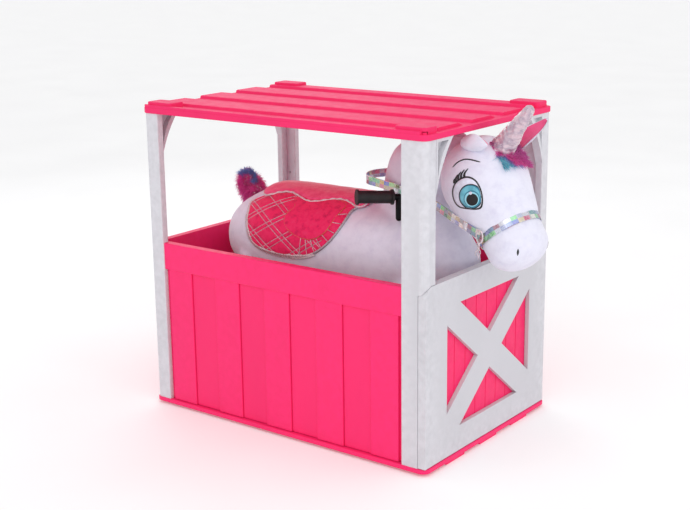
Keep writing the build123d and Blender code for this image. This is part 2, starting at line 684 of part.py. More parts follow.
def build_chassis():
    beam = block(-336, 256, -40, 40, 378, 402) - block(-320, 190, -32, 32, 386, 403)
    axle_hole = rear_axle_rod(-50, 50, REAR_AXLE_RADIUS + 0.05)
    for side in (-1, 1):
        plate = block(-286, -214, side * 30, side * 38, 66, 378.5)
        beam += plate - axle_hole
    beam += rod((STEER_X, 0, 350), (STEER_X, 0, 430), 20)
    beam -= rod((STEER_X, 0, 349), (STEER_X, 0, 431), 16)
    keep("chassis_frame", beam)
    bushes = [
        tube((STEER_X, 0, low), (STEER_X, 0, low + 15), 15.95, COLUMN_RADIUS + RUNNING_FIT)
        for low in (352, 413)
    ]
    keep("column_bushes", *bushes)

    axle = rear_axle_rod(-86, 86, REAR_AXLE_RADIUS)
    for side in (-1, 1):
        axle += rear_axle_rod(side * 85.5, side * 90, 11)
    keep("rear_axle", axle)
    gearboxes = []
    for side in (-1, 1):
        box = block(-288, -212, side * 2, side * 28, REAR_AXLE_HEIGHT - 24, REAR_AXLE_HEIGHT + 24)
        box += rod((-250, side * 15, REAR_AXLE_HEIGHT + 23), (-250, side * 15, REAR_AXLE_HEIGHT + 90), 12.5)
        gearboxes.append(box - rear_axle_rod(-60, 60, REAR_AXLE_RADIUS + 0.2))
    keep("rear_gearmotors", *gearboxes)
    keep("battery", edge_round(block(-120, 30, -31, 31, 386.2, 482), Axis.Z, 4))
    keep("control_board", block(-230, -140, -28, 28, 386.2, 389) + block(-215, -180, -12, 12, 389, 402))


def wheel(x, height, radius, inner, outer, bore):
    """A moulded wheel with a grooved tread, a dished web and a hub, on an axle along Y."""
    start = (x, inner, height)
    end = (x, outer, height)
    body = rod(start, end, radius)
    body = fillet(body.edges(), 5)
    middle = (inner + outer) / 2
    for y in (middle - 8, middle + 8):
        body -= tube((x, y - 1.5, height), (x, y + 1.5, height), radius + 1, radius - 2.5)
    dish_outer = radius - 14
    dish = tube((x, outer - 9, height), (x, outer + 1, height), dish_outer, 18)
    body -= dish
    return body - rod((x, inner - 1, height), (x, outer + 1, height), bore)


def build_wheels():
    rear = wheel(REAR_AXLE_X, REAR_AXLE_HEIGHT, REAR_WHEEL_RADIUS, 42, 84.5, REAR_AXLE_RADIUS + RUNNING_FIT)
    front = wheel(STEER_X, FRONT_AXLE_HEIGHT, FRONT_WHEEL_RADIUS, 27, 61, FRONT_AXLE_RADIUS + RUNNING_FIT)
    keep("rear_left_wheel", rear)
    keep("rear_right_wheel", other_side(rear))
    keep("front_left_wheel", front)
    keep("front_right_wheel", other_side(front))


# ---- steering and controls ---------------------------------------------------------
def bar_point(side, distance):
    """A point on the grip's line, at a distance from the riser's top."""
    start = Vector(RISER[0], side * RISER[1], GRIP_HEIGHT)
    along = Vector(BAR_END[0], side * BAR_END[1], BAR_END[2]) - start
    return start + along.normalized() * distance


def half_handlebar(side):
    centre = (STEER_X, 0, CROSSBAR_HEIGHT)
    knee = (RISER[0], side * RISER[1], CROSSBAR_HEIGHT)
    top = (RISER[0], side * RISER[1], GRIP_HEIGHT)
    bar = rod(centre, knee, BAR_RADIUS) + Pos(*knee) * Sphere(BAR_RADIUS)
    bar += rod(knee, top, BAR_RADIUS) + Pos(*top) * Sphere(BAR_RADIUS)
    return bar + rod(top, tuple(bar_point(side, BAR_LENGTH)), BAR_RADIUS)


def grip(side, bore):
    start = 16.0
    end = BAR_LENGTH + 4
    sleeve = rod(tuple(bar_point(side, start)), tuple(bar_point(side, end)), GRIP_RADIUS)
    for place in (start, end - 5):
        sleeve += rod(tuple(bar_point(side, place)), tuple(bar_point(side, place + 5)), GRIP_RADIUS + 3.5)
    hollow = rod(tuple(bar_point(side, start - 1)), tuple(bar_point(side, BAR_LENGTH + 0.4)), bore)
    return sleeve - hollow


def build_steering():
    column = rod((STEER_X, 0, 118), (STEER_X, 0, CROSSBAR_HEIGHT - 14), COLUMN_RADIUS)
    keep("steering_column", column)
    stem = block(STEER_X - 15, STEER_X + 15, -20, 20, CROSSBAR_HEIGHT - 14, CROSSBAR_HEIGHT + 14)
    keep("handlebar", half_handlebar(1) + half_handlebar(-1) + stem)
    keep("left_grip", grip(1, BAR_RADIUS))
    keep("throttle_grip", grip(-1, BAR_RADIUS + RUNNING_FIT))
    truck = block(STEER_X - 20, STEER_X + 20, -24, 24, 52, 118)
    ends = ((STEER_X, -30, FRONT_AXLE_HEIGHT), (STEER_X, 30, FRONT_AXLE_HEIGHT))
    keep("front_truck", edge_round(truck, Axis.Z, 4) - rod(*ends, FRONT_AXLE_RADIUS + 0.05))
    axle = rod((STEER_X, -62.5, FRONT_AXLE_HEIGHT), (STEER_X, 62.5, FRONT_AXLE_HEIGHT), FRONT_AXLE_RADIUS)
    for side in (-1, 1):
        axle += rod((STEER_X, side * 61.8, FRONT_AXLE_HEIGHT), (STEER_X, side * 65.5, FRONT_AXLE_HEIGHT), 9)
    keep("front_axle", axle)


def build_switches():
    """A small panel on the left flank with two rocker switches."""
    panel = edge_round(block(62, 138, 142, 168, 507, 548), Axis.Y, 6)
    for x in SWITCH_X:
        panel -= block(x - 8.5, x + 8.5, 152, 170, SWITCH_Z - 13.5, SWITCH_Z + 13.5)
    keep("switch_panel", panel)
    names = ("power_switch", "direction_switch")
    for name, x in zip(names, SWITCH_X):
        rocker = rod((x - 8, SWITCH_Y - 2, SWITCH_Z), (x + 8, SWITCH_Y - 2, SWITCH_Z), 8)
        rocker += block(x - 8, x + 8, SWITCH_Y - 1, SWITCH_Y + 7, SWITCH_Z - 10, SWITCH_Z + 10)
        keep(name, rocker)


def write_parts():
    for name, solids in NODES.items():
        flat = [solid for shape in solids for solid in shape.solids()]
        shape = flat[0] if len(flat) == 1 else Compound(children=flat)
        shape.label = name
        export_step(shape, f"parts/{name}.step")


build_stable()
build_gate()
build_plush()
build_tack()
build_chassis()
build_wheels()
build_steering()
build_switches()
write_parts()
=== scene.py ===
import math
import random

import bmesh
import bpy
from mathutils import Matrix, Vector, noise
from mathutils.bvhtree import BVHTree


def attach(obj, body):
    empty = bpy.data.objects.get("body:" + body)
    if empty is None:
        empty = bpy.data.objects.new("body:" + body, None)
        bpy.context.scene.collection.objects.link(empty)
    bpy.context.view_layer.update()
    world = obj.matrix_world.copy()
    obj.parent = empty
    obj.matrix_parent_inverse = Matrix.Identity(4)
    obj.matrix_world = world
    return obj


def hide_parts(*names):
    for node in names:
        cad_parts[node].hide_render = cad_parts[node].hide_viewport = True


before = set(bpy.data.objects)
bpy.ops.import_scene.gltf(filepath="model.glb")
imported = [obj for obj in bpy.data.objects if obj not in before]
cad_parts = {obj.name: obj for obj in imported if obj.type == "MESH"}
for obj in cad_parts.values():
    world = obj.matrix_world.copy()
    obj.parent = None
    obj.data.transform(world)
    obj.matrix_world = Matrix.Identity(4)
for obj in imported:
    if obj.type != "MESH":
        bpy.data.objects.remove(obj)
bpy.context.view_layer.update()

# A plush unicorn ride-on in its moulded toy stable. Lengths are metres; +X is forward, +Y is left.

# ---- the unicorn's measures: its skin is a little slimmer than the CAD solids ----------
BODY_RADIUS = 0.158
BODY_HEIGHT = 0.476
BODY_REAR = -0.416
BODY_FRONT = 0.430
RUMP = 0.262
CHEST = 0.285
LEG_SIDE = 0.145
FRONT_LEG = 0.306
REAR_LEG = -0.312
NECK_SECTIONS = [                 # height, middle, half length, half width
    (0.540, 0.275, 0.135, 0.100),
    (0.640, 0.255, 0.118, 0.078),
    (0.715, 0.274, 0.123, 0.081),
    (0.785, 0.298, 0.112, 0.081),
    (0.833, 0.325, 0.062, 0.044),
]
HEAD_YAW = math.radians(-13)
HEAD_SLOPE = math.radians(52.5)
FORWARD = Vector((math.cos(HEAD_YAW), math.sin(HEAD_YAW), 0))
LEFTWARD = Vector((-math.sin(HEAD_YAW), math.cos(HEAD_YAW), 0))
UP = Vector((0, 0, 1))
SKULL = Vector((0.300, 0, 0.727)) + FORWARD * 0.178
SKULL_RADIUS = 0.112
HEAD_AXIS = FORWARD * math.cos(HEAD_SLOPE) - UP * math.sin(HEAD_SLOPE)
HEAD_FRONT = FORWARD * math.sin(HEAD_SLOPE) + UP * math.cos(HEAD_SLOPE)
MUZZLE_REACH = 0.195
MUZZLE_RADIUS = 0.080
MUZZLE_LENGTH = 0.060
BAND_PLACE = 0.150
BAND_WIDTH = 0.022
HORN_LENGTH = 0.151
HORN_ROOT = 0.022
HORN_TIP = 0.013
FLOOR_SIZE = 60.0


# ---- node helpers ----------------------------------------------------------------------
def linear(colour):
    """An sRGB colour of 0-255 values as linear RGBA."""
    values = []
    for value in colour:
        v = value / 255
        values.append(v / 12.92 if v <= 0.04045 else ((v + 0.055) / 1.055) ** 2.4)
    return (*values, 1.0)


def shade(colour, factor):
    return tuple(min(255.0, value * factor) for value in colour)


class Surface:
    """One procedural material: a Principled shader with small helpers for its nodes."""

    def __init__(self, name):
        self.material = bpy.data.materials.new(name)
        self.material.use_nodes = True
        self.tree = self.material.node_tree
        self.shader = self.tree.nodes["Principled BSDF"]
        self.place = self.node("ShaderNodeTexCoord").outputs["Object"]

    def node(self, kind, **values):
        made = self.tree.nodes.new(kind)
        for key, value in values.items():
            setattr(made, key, value)
        return made

    def join(self, source, target):
        self.tree.links.new(source, target)

    def uv(self):
        return self.node("ShaderNodeTexCoord").outputs["UV"]

    def noise(self, scale, detail=2.0, rough=0.5, stretch=None):
        made = self.node("ShaderNodeTexNoise")
        made.inputs["Scale"].default_value = scale
        made.inputs["Detail"].default_value = detail
        made.inputs["Roughness"].default_value = rough
        place = self.place
        if stretch:
            mapping = self.node("ShaderNodeMapping")
            mapping.inputs["Scale"].default_value = stretch
            self.join(place, mapping.inputs["Vector"])
            place = mapping.outputs["Vector"]
        self.join(place, made.inputs["Vector"])
        return made.outputs["Fac"]

    def ramp(self, source, stops):
        made = self.node("ShaderNodeValToRGB")
        elements = made.color_ramp.elements
        while len(elements) < len(stops):
            elements.new(0.5)
        for element, (position, colour) in zip(elements, stops):
            element.position = position
            element.color = linear(colour)
        self.join(source, made.inputs["Fac"])
        return made.outputs["Color"]

    def spread(self, source, low, high, start=0.3, end=0.7):
        made = self.node("ShaderNodeMapRange")
        made.inputs["From Min"].default_value = start
        made.inputs["From Max"].default_value = end
        made.inputs["To Min"].default_value = low
        made.inputs["To Max"].default_value = high
        self.join(source, made.inputs["Value"])
        return made.outputs["Result"]

    def math(self, operation, first, second):
        made = self.node("ShaderNodeMath", operation=operation)
        for socket, value in zip(made.inputs, (first, second)):
            if isinstance(value, (int, float)):
                socket.default_value = value
            else:
                self.join(value, socket)
        return made.outputs["Value"]

    def mix(self, factor, first, second):
        made = self.node("ShaderNodeMix", data_type="RGBA")
        colours = [socket for socket in made.inputs if socket.type == "RGBA"]
        self.join(factor, made.inputs[0])
        for socket, value in zip(colours, (first, second)):
            if isinstance(value, tuple):
                socket.default_value = linear(value)
            else:
                self.join(value, socket)
        return [socket for socket in made.outputs if socket.type == "RGBA"][0]

    def bump(self, height, strength, distance, under=None):
        made = self.node("ShaderNodeBump")
        made.inputs["Strength"].default_value = strength
        made.inputs["Distance"].default_value = distance
        self.join(height, made.inputs["Height"])
        if under:
            self.join(under, made.inputs["Normal"])
        return made.outputs["Normal"]

    def set(self, **values):
        for key, value in values.items():
            socket = self.shader.inputs[key.replace("_", " ")]
            if isinstance(value, bpy.types.NodeSocket):
                self.join(value, socket)
            else:
                socket.default_value = value
        return self.material


# ---- materials -------------------------------------------------------------------------
def moulded_plastic(name, colour, rough=(0.36, 0.5), grain=0.12):
    """Blow-moulded plastic: faint flow marks, orange peel and edges made paler in patches where they are
    sharp.
    """
    s = Surface(name)
    flow = s.noise(7, 3, 0.5, (1, 1, 0.35))
    tones = [(0.25, shade(colour, 0.975)), (0.55, colour), (0.85, shade(colour, 1.015))]
    base = s.ramp(flow, tones)
    # Paler in noisy patches along sharp convex edges, picked out by pointiness.
    edge = s.node("ShaderNodeNewGeometry").outputs["Pointiness"]
    pale_edges = s.math("MULTIPLY", s.spread(edge, 0, 1, 0.53, 0.6), s.spread(s.noise(60), 0, 0.5))
    base = s.mix(pale_edges, base, shade(colour, 1.1))
    peel = s.noise(900, 2, 0.5)
    wave = s.noise(26, 2, 0.5)
    normal = s.bump(wave, grain * 0.5, 0.0008, s.bump(peel, grain, 0.00015))
    rougher = s.spread(s.noise(40, 4), *rough)
    return s.set(Base_Color=base, Roughness=rougher, Normal=normal, Specular_IOR_Level=0.25)


def plush(name, colour, shadow):
    """Short pile plush: fine fibre bump over soft brushed patches."""
    s = Surface(name)
    brushed = s.noise(38, 3, 0.6)
    base = s.ramp(brushed, [(0.2, shadow), (0.5, colour), (0.85, shade(colour, 1.03))])
    fibre = s.noise(1500, 3, 0.7)
    clump = s.noise(330, 3, 0.6)
    normal = s.bump(clump, 0.35, 0.0012, s.bump(fibre, 0.5, 0.0005))
    return s.set(
        Base_Color=base,
        Roughness=s.spread(clump, 0.85, 1.0),
        Normal=normal,
        Sheen_Weight=0.35,
        Sheen_Roughness=0.5,
        Specular_IOR_Level=0.1,
    )


def velvet(name, colour, dark, light):
    """Crushed velvet: paler and darker where its nap lies another way."""
    s = Surface(name)
    crushed = s.noise(55, 5, 0.65)
    base = s.ramp(crushed, [(0.28, dark), (0.5, colour), (0.78, light)])
    pile = s.noise(1800, 2, 0.6)
    nap = s.noise(140, 3, 0.6)
    normal = s.bump(nap, 0.3, 0.001, s.bump(pile, 0.4, 0.0004))
    return s.set(
        Base_Color=base,
        Roughness=s.spread(nap, 0.7, 0.95),
        Normal=normal,
        Sheen_Weight=0.55,
        Sheen_Roughness=0.35,
        Specular_IOR_Level=0.2,
    )


def holographic(name, cell=(62, 92), strength=0.95):
    """Foil strap printed with small rectangular facets that each show their own hue."""
    s = Surface(name)
    scaled = s.node("ShaderNodeVectorMath", operation="MULTIPLY")
    scaled.inputs[1].default_value = (*cell, 0)
    s.join(s.uv(), scaled.inputs[0])
    floor = s.node("ShaderNodeVectorMath", operation="FLOOR")
    s.join(scaled.outputs["Vector"], floor.inputs[0])
    white = s.node("ShaderNodeTexWhiteNoise", noise_dimensions="3D")
    s.join(floor.outputs["Vector"], white.inputs["Vector"])
    hue = s.ramp(white.outputs["Value"], [
        (0.0, (240, 236, 230)), (0.14, (120, 150, 214)), (0.28, (208, 176, 84)),
        (0.42, (236, 244, 250)), (0.56, (92, 104, 190)), (0.68, (136, 216, 140)),
        (0.82, (244, 120, 160)), (1.0, (120, 96, 110)),
    ])
    drift = s.noise(90, 4, 0.6)
    shimmer = s.ramp(drift, [(0.3, (186, 160, 176)), (0.5, (235, 228, 224)), (0.7, (160, 190, 214))])
    base = s.mix(s.spread(drift, strength, strength * 0.6), shimmer, hue)
    normal = s.bump(s.noise(420, 3, 0.6), 0.3, 0.0006)
    return s.set(Base_Color=base, Metallic=0.75, Roughness=s.spread(drift, 0.2, 0.38), Normal=normal)


def lame(name, colour, tint):
    """Crinkled metallic cloth, with painted shade in the crinkles' hollows and a painted highlight on their
    crests.
    """
    s = Surface(name)
    crinkle = s.noise(240, 4, 0.65)
    # Painted shade and highlight: the colour follows the crinkle height, darker in the hollows and paler on
    # the crests.
    tones = [(0.3, shade(colour, 0.72)), (0.5, colour), (0.62, tint), (0.75, shade(colour, 1.2))]
    base = s.ramp(crinkle, tones)
    normal = s.bump(crinkle, 0.6, 0.0015, s.bump(s.noise(1600, 2), 0.3, 0.0004))
    return s.set(Base_Color=base, Metallic=0.35, Roughness=s.spread(crinkle, 0.25, 0.5), Normal=normal)


def horn_cloth(name):
    """Sheer iridescent vinyl over wadding."""
    s = Surface(name)
    film = s.noise(28, 4, 0.6, (1, 1, 2))
    base = s.ramp(film, [
        (0.25, (196, 150, 172)), (0.42, (214, 190, 200)), (0.55, (178, 160, 176)),
        (0.68, (226, 208, 214)), (0.85, (188, 176, 206)),
    ])
    normal = s.bump(s.noise(120, 4, 0.6), 0.5, 0.003)
    return s.set(
        Base_Color=base,
        Metallic=0.35,
        Roughness=s.spread(film, 0.14, 0.32),
        Normal=normal,
        Coat_Weight=0.5,
        Coat_Roughness=0.12,
    )


def fur(name, stops, direction, offset, spread):
    """Dyed long pile, its colour drifting along a direction."""
    s = Surface(name)
    dot = s.node("ShaderNodeVectorMath", operation="DOT_PRODUCT")
    s.join(s.place, dot.inputs[0])
    dot.inputs[1].default_value = tuple(Vector(direction) * spread)
    along = s.math("ADD", dot.outputs["Value"], -offset * spread)
    wander = s.math("MULTIPLY", s.math("SUBTRACT", s.noise(30, 3), 0.5), 0.55)
    base = s.ramp(s.math("ADD", along, wander), stops)
    strand = s.noise(700, 2, 0.5)
    base = s.mix(s.spread(strand, 0.0, 0.35, 0.45, 0.75), base, (255, 190, 232))
    return s.set(
        Base_Color=base,
        Roughness=s.spread(strand, 0.45, 0.7),
        Normal=s.bump(strand, 0.2, 0.0005),
        Sheen_Weight=0.25,
        Specular_IOR_Level=0.3,
    )


def rubber(name, colour):
    """Fine-grained rubber or soft plastic with slight wear."""
    s = Surface(name)
    grain = s.noise(1100, 3, 0.6)
    base = s.ramp(s.noise(45, 4), [(0.3, shade(colour, 0.7)), (0.7, shade(colour, 1.4))])
    rough = s.spread(grain, 0.5, 0.75)
    return s.set(Base_Color=base, Roughness=rough, Normal=s.bump(grain, 0.25, 0.0004))


def metal(name, colour, rough):
    """Bare or painted steel, brushed along Z."""
    s = Surface(name)
    grain = s.noise(160, 4, 0.6, (1, 1, 14))
    base = s.ramp(grain, [(0.3, shade(colour, 0.85)), (0.7, shade(colour, 1.1))])
    rougher = s.spread(grain, *rough)
    return s.set(Base_Color=base, Metallic=0.95, Roughness=rougher, Normal=s.bump(grain, 0.08, 0.0003))


def printed(name, colour, second=None):
    """Embroidered patch: satin stitch that runs one way."""
    s = Surface(name)
    stitch = s.noise(260, 2, 0.5, (1, 6, 6))
    tone = s.noise(60, 3)
    base = s.ramp(tone, [(0.3, shade(colour, 0.92)), (0.7, second or shade(colour, 1.05))])
    return s.set(
        Base_Color=base,
        Roughness=s.spread(stitch, 0.4, 0.65),
        Normal=s.bump(stitch, 0.25, 0.0006),
        Sheen_Weight=0.1,
    )


def circuit(name, colour):
    """A circuit board's lacquer, divided by gold tracks."""
    s = Surface(name)
    brick = s.node("ShaderNodeTexBrick")
    brick.inputs["Scale"].default_value = 60
    brick.inputs["Color1"].default_value = linear(colour)
    brick.inputs["Color2"].default_value = linear(shade(colour, 1.3))
    brick.inputs["Mortar"].default_value = linear((150, 130, 60))
    s.join(s.place, brick.inputs["Vector"])
    return s.set(Base_Color=brick.outputs["Color"], Roughness=s.spread(s.noise(200), 0.35, 0.6))


PINK = (248, 42, 110)
ROOF_PINK = (240, 42, 106)
WHITE = (206, 205, 211)
PLUSH_WHITE = (226, 225, 240)
PLUSH_SHADOW = (214, 212, 232)
SADDLE = (236, 38, 98)
MAGENTA = (236, 44, 162)
CYAN = (70, 186, 206)

pink_plastic = moulded_plastic("pink_plastic", PINK)
roof_plastic = moulded_plastic("roof_plastic", ROOF_PINK, (0.5, 0.62))
backing_plastic = moulded_plastic("backing_plastic", (244, 40, 104), (0.4, 0.55))
white_plastic = moulded_plastic("white_plastic", WHITE, (0.38, 0.5), 0.1)
gate_plastic = moulded_plastic("gate_plastic", shade(WHITE, 0.985), (0.4, 0.52), 0.1)
white_plush = plush("white_plush", PLUSH_WHITE, PLUSH_SHADOW)
ear_pink = plush("ear_pink", (236, 92, 140), (220, 74, 124))
seat_velvet = velvet("seat_velvet", (246, 92, 142), (236, 76, 128), (250, 120, 160))
flap_velvet = velvet("flap_velvet", SADDLE, (196, 24, 80), (236, 58, 112))
strap_foil = holographic("strap_foil")
silver_lame = lame("silver_lame", (226, 216, 220), (236, 196, 210))
hoof_lame = lame("hoof_lame", (226, 150, 184), (214, 190, 220))
grey_piping = lame("grey_piping", (176, 172, 180), (196, 188, 198))
silver_thread = lame("silver_thread", (206, 176, 190), (226, 216, 224))
gold_thread = lame("gold_thread", (214, 120, 70), (230, 150, 90))
horn_foil = horn_cloth("horn_foil")
black_rubber = rubber("black_rubber", (24, 22, 24))
tyre_plastic = rubber("tyre_plastic", (34, 32, 36))
black_steel = metal("black_steel", (30, 30, 32), (0.35, 0.5))
zinc_steel = metal("zinc_steel", (176, 178, 182), (0.25, 0.4))
motor_plastic = moulded_plastic("motor_plastic", (58, 58, 64), (0.4, 0.6))
battery_plastic = moulded_plastic("battery_plastic", (44, 46, 52), (0.45, 0.6))
bush_plastic = moulded_plastic("bush_plastic", (232, 228, 214), (0.35, 0.5))
switch_plastic = moulded_plastic("switch_plastic", (36, 34, 38), (0.35, 0.5))
rocker_plastic = moulded_plastic("rocker_plastic", (206, 42, 54), (0.3, 0.42))
board_green = circuit("board_green", (26, 92, 60))
ink_black = printed("ink_black", (14, 14, 18))
eye_white = printed("eye_white", (222, 222, 238))
iris_teal = printed("iris_teal", (92, 176, 198), (118, 196, 214))
iris_deep = printed("iris_deep", (44, 128, 156))
iris_light = printed("iris_light", (150, 214, 230))

NODE_MATERIALS = {
    pink_plastic: ["floor_base", "right_side_panel", "left_side_panel", "rear_panel"],
    roof_plastic: ["roof_panel", "roof_corner_caps", "roof_bolts"],
    white_plastic: [
        "front_right_post", "front_left_post", "rear_right_post_lower", "rear_right_post_upper",
        "rear_left_post_lower", "rear_left_post_upper", "front_corner_braces", "rear_corner_braces",
    ],
    gate_plastic: ["gate_frame"],
    backing_plastic: ["gate_backing_panel"],
    zinc_steel: ["panel_screws", "gate_hinge_pins", "gate_bolt", "rear_axle", "front_axle"],
    motor_plastic: ["rear_gearmotors", "gate_bolt_guides", "gate_keeper"],
    battery_plastic: ["battery"],
    board_green: ["control_board"],
    bush_plastic: ["column_bushes"],
    switch_plastic: ["switch_panel"],
    rocker_plastic: ["power_switch", "direction_switch"],
    black_rubber: ["left_grip", "throttle_grip"],
    black_steel: ["chassis_frame", "handlebar", "steering_column", "front_truck"],
    tyre_plastic: ["rear_right_wheel", "rear_left_wheel", "front_right_wheel", "front_left_wheel"],
}


def finish_cad_nodes():
    """Gives each CAD node that stays its own material."""
    for material, names in NODE_MATERIALS.items():
        for name in names:
            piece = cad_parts[name]
            piece.data.materials.clear()
            piece.data.materials.append(material)


# ---- mesh helpers ----------------------------------------------------------------------
def make_piece(name, vertices, faces, material, body="unicorn", smooth=True):
    """A new object with one material that rides on a body."""
    mesh = bpy.data.meshes.new(name)
    mesh.from_pydata([tuple(v) for v in vertices], [], faces)
    mesh.validate()
    bm = bmesh.new()
    bm.from_mesh(mesh)
    bmesh.ops.remove_doubles(bm, verts=bm.verts, dist=1e-6)
    bmesh.ops.recalc_face_normals(bm, faces=bm.faces)
    bm.to_mesh(mesh)
    bm.free()
    mesh.polygons.foreach_set("use_smooth", [smooth] * len(mesh.polygons))
    piece = bpy.data.objects.new(name, mesh)
    bpy.context.scene.collection.objects.link(piece)
    mesh.materials.append(material)
    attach(piece, body)
    return piece


def turns(count):
    """Evenly spaced angles of one full turn."""
    return [2 * math.pi * k / count for k in range(count)]


def eased(t):
    """A fraction from 0 to 1 that moves slowly at both ends."""
    return 0.5 - 0.5 * math.cos(math.pi * t)


def dome(edge):
    """The height of a quarter round: 0 at its edge, 1 from an edge of 1 on."""
    return math.sqrt(max(0.0, 1 - (1 - max(0.0, min(1.0, edge))) ** 2))


def grid_faces(rows, columns, wrap=False):
    """Quads between rows of points; wrap joins each row's last point to its first."""
    faces = []
    across = columns if wrap else columns - 1
    for i in range(rows - 1):
        for j in range(across):
            k = (j + 1) % columns
            a = i * columns
            b = a + columns
            faces.append((a + j, a + k, b + k, b + j))
    return faces


def capped_faces(rows, columns):
    """Quads round stacked rings of points, with one face over each end."""
    faces = grid_faces(rows, columns, wrap=True)
    faces.append(tuple(range(columns)))
    faces.append(tuple(range((rows - 1) * columns, rows * columns)))
    return faces


def looped_faces(rows, columns):
    """Quads round rings of points, the last of which meets the first."""
    faces = grid_faces(rows, columns, wrap=True)
    last = (rows - 1) * columns
    for j in range(columns):
        k = (j + 1) % columns
        faces.append((last + j, last + k, k, j))
    return faces


def grid_border(rows, columns):
    """The points round the outside of a grid, in order."""
    border = list(range(columns)) + [i * columns + columns - 1 for i in range(1, rows)]
    border += [(rows - 1) * columns + j for j in range(columns - 2, -1, -1)]
    return border + [i * columns for i in range(rows - 2, 0, -1)]


def slab(top, bottom, faces, border):
    """A closed slab: faces over its top, the same ones underneath, and a rim round its border."""
    total = len(top)
    under = [tuple(index + total for index in reversed(face)) for face in faces]
    rim = [(a, b, b + total, a + total) for a, b in zip(border, border[1:] + border[:1])]
    return top + bottom, faces + under + rim


def sweep(points, sides, section, closed=False):
    """Rings of points round a path: section(i, angle) gives (across, upward) offsets."""
    rings = []
    count = len(points)
    for i, point in enumerate(points):
        before = points[i - 1] if i or closed else point
        after = points[(i + 1) % count] if i < count - 1 or closed else point
        along = (after - before).normalized()
        across = along.cross(UP)
        if across.length < 1e-4:
            across = along.cross(Vector((0, 1, 0)))
        across.normalize()
        upward = across.cross(along)
        for angle in turns(sides):
            a, b = section(i, angle)
            rings.append(point + across * a + upward * b)
    return rings


def tube_mesh(points, radius, sides=8, closed=False):
    """Vertices and faces of a round tube; radius is a number or a function of the fraction along."""
    count = len(points)

    def section(i, angle):
        r = radius(i / max(1, count - 1)) if callable(radius) else radius
        return r * math.cos(angle), r * math.sin(angle)

    vertices = sweep(points, sides, section, closed)
    if closed:
        return vertices, looped_faces(count, sides)
    faces = grid_faces(count, sides, wrap=True)
    faces.append(tuple(range(sides))[::-1])
    faces.append(tuple(range((count - 1) * sides, count * sides)))
    return vertices, faces


def merged(parts):
    """Several (vertices, faces) as one."""
    vertices = []
    faces = []
    for part_vertices, part_faces in parts:
        start = len(vertices)
        vertices.extend(part_vertices)
        faces.extend(tuple(index + start for index in face) for face in part_faces)
    return vertices, faces


def smooth_path(points, steps=10, closed=False):
    """A Catmull-Rom curve through a few points."""
    path = []
    count = len(points)
    spans = count if closed else count - 1
    for i in range(spans):
        if closed:
            p0, p1, p2, p3 = (points[(i + k) % count] for k in (-1, 0, 1, 2))
        else:
            p0, p3 = points[max(0, i - 1)], points[min(count - 1, i + 2)]
            p1, p2 = points[i], points[i + 1]
        for step in range(steps):
            t = step / steps
            path.append(0.5 * (
                (2 * p1) + (p2 - p0) * t + (2 * p0 - 5 * p1 + 4 * p2 - p3) * t * t
                + (3 * p1 - p0 - 3 * p2 + p3) * t ** 3
            ))
    if not closed:
        path.append(points[-1].copy())
    return path


def wobble(point, scale, seed):
    """Smooth noise from -1 to 1 at a point."""
    return noise.noise(Vector(point) * scale + Vector((seed, seed * 1.7, seed * 0.3)))


def apply_modifiers(piece):
    """Replaces the piece's mesh with what its modifiers make of it."""
    bpy.context.view_layer.update()
    evaluated = piece.evaluated_get(bpy.context.evaluated_depsgraph_get())
    shaped = bpy.data.meshes.new_from_object(evaluated)
    piece.modifiers.clear()
    old = piece.data
    piece.data = shaped
    bpy.data.meshes.remove(old)


def stuff(piece, voxel, pressure, cap):
    """Turns a rough form into stuffed cloth: remesh, swell with cloth, cap the swelling, subdivide."""
    remesh = piece.modifiers.new("voxels", "REMESH")
    remesh.mode = "VOXEL"
    remesh.voxel_size = voxel
    remesh.use_smooth_shade = True
    relax = piece.modifiers.new("relax", "SMOOTH")
    relax.factor = 0.6
    relax.iterations = 12
    apply_modifiers(piece)
    rest = [v.co.copy() for v in piece.data.vertices]
    cloth = piece.modifiers.new("cloth", "CLOTH")
    cloth.settings.use_pressure = True
    cloth.settings.uniform_pressure_force = pressure
    cloth.settings.effector_weights.gravity = 0
    cloth.settings.quality = 4
    cloth.settings.tension_stiffness = 12
    cloth.settings.compression_stiffness = 12
    cloth.settings.bending_stiffness = 0.4
    scene = bpy.context.scene
    for step in range(1, 21):
        scene.frame_set(step)
    apply_modifiers(piece)
    scene.frame_set(1)
    for vertex, start in zip(piece.data.vertices, rest):
        moved = vertex.co - start
        if moved.length > cap:
            vertex.co = start + moved * (cap / moved.length)
    finer = piece.modifiers.new("finer", "SUBSURF")
    finer.levels = 1
    finer.render_levels = 1
    apply_modifiers(piece)
    piece.data.polygons.foreach_set("use_smooth", [True] * len(piece.data.polygons))


# ---- body, neck and legs ---------------------------------------------------------------
def body_radius(x):
    """The barrel's radius at a place along it."""
    if x < BODY_REAR + RUMP:
        t = (BODY_REAR + RUMP - x) / RUMP
    elif x > BODY_FRONT - CHEST:
        t = (x - (BODY_FRONT - CHEST)) / CHEST
    else:
        return BODY_RADIUS
    return BODY_RADIUS * math.sqrt(max(0.0, 1 - t * t))


def barrel_mesh():
    """The barrel as rings from rump to chest."""
    vertices = []
    rows = 90
    columns = 96
    for i in range(rows):
        x = BODY_REAR + (BODY_FRONT - BODY_REAR) * eased(i / (rows - 1))
        radius = max(body_radius(x), 0.001)
        for angle in turns(columns):
            height = BODY_HEIGHT + radius * math.cos(angle)
            vertices.append(Vector((x, -radius * math.sin(angle), height)))
    return vertices, capped_faces(rows, columns)


def neck_mesh():
    """The neck as upright oval rings."""
    sections = smooth_path([Vector(values[1:]) for values in NECK_SECTIONS], 8)
    heights = smooth_path([Vector((values[0], 0, 0)) for values in NECK_SECTIONS], 8)
    vertices = []
    columns = 72
    for height, (middle, along, across) in zip(heights, sections):
        for angle in turns(columns):
            place = (middle + along * math.cos(angle), across * math.sin(angle), height.x)
            vertices.append(Vector(place))
    return vertices, capped_faces(len(sections), columns)


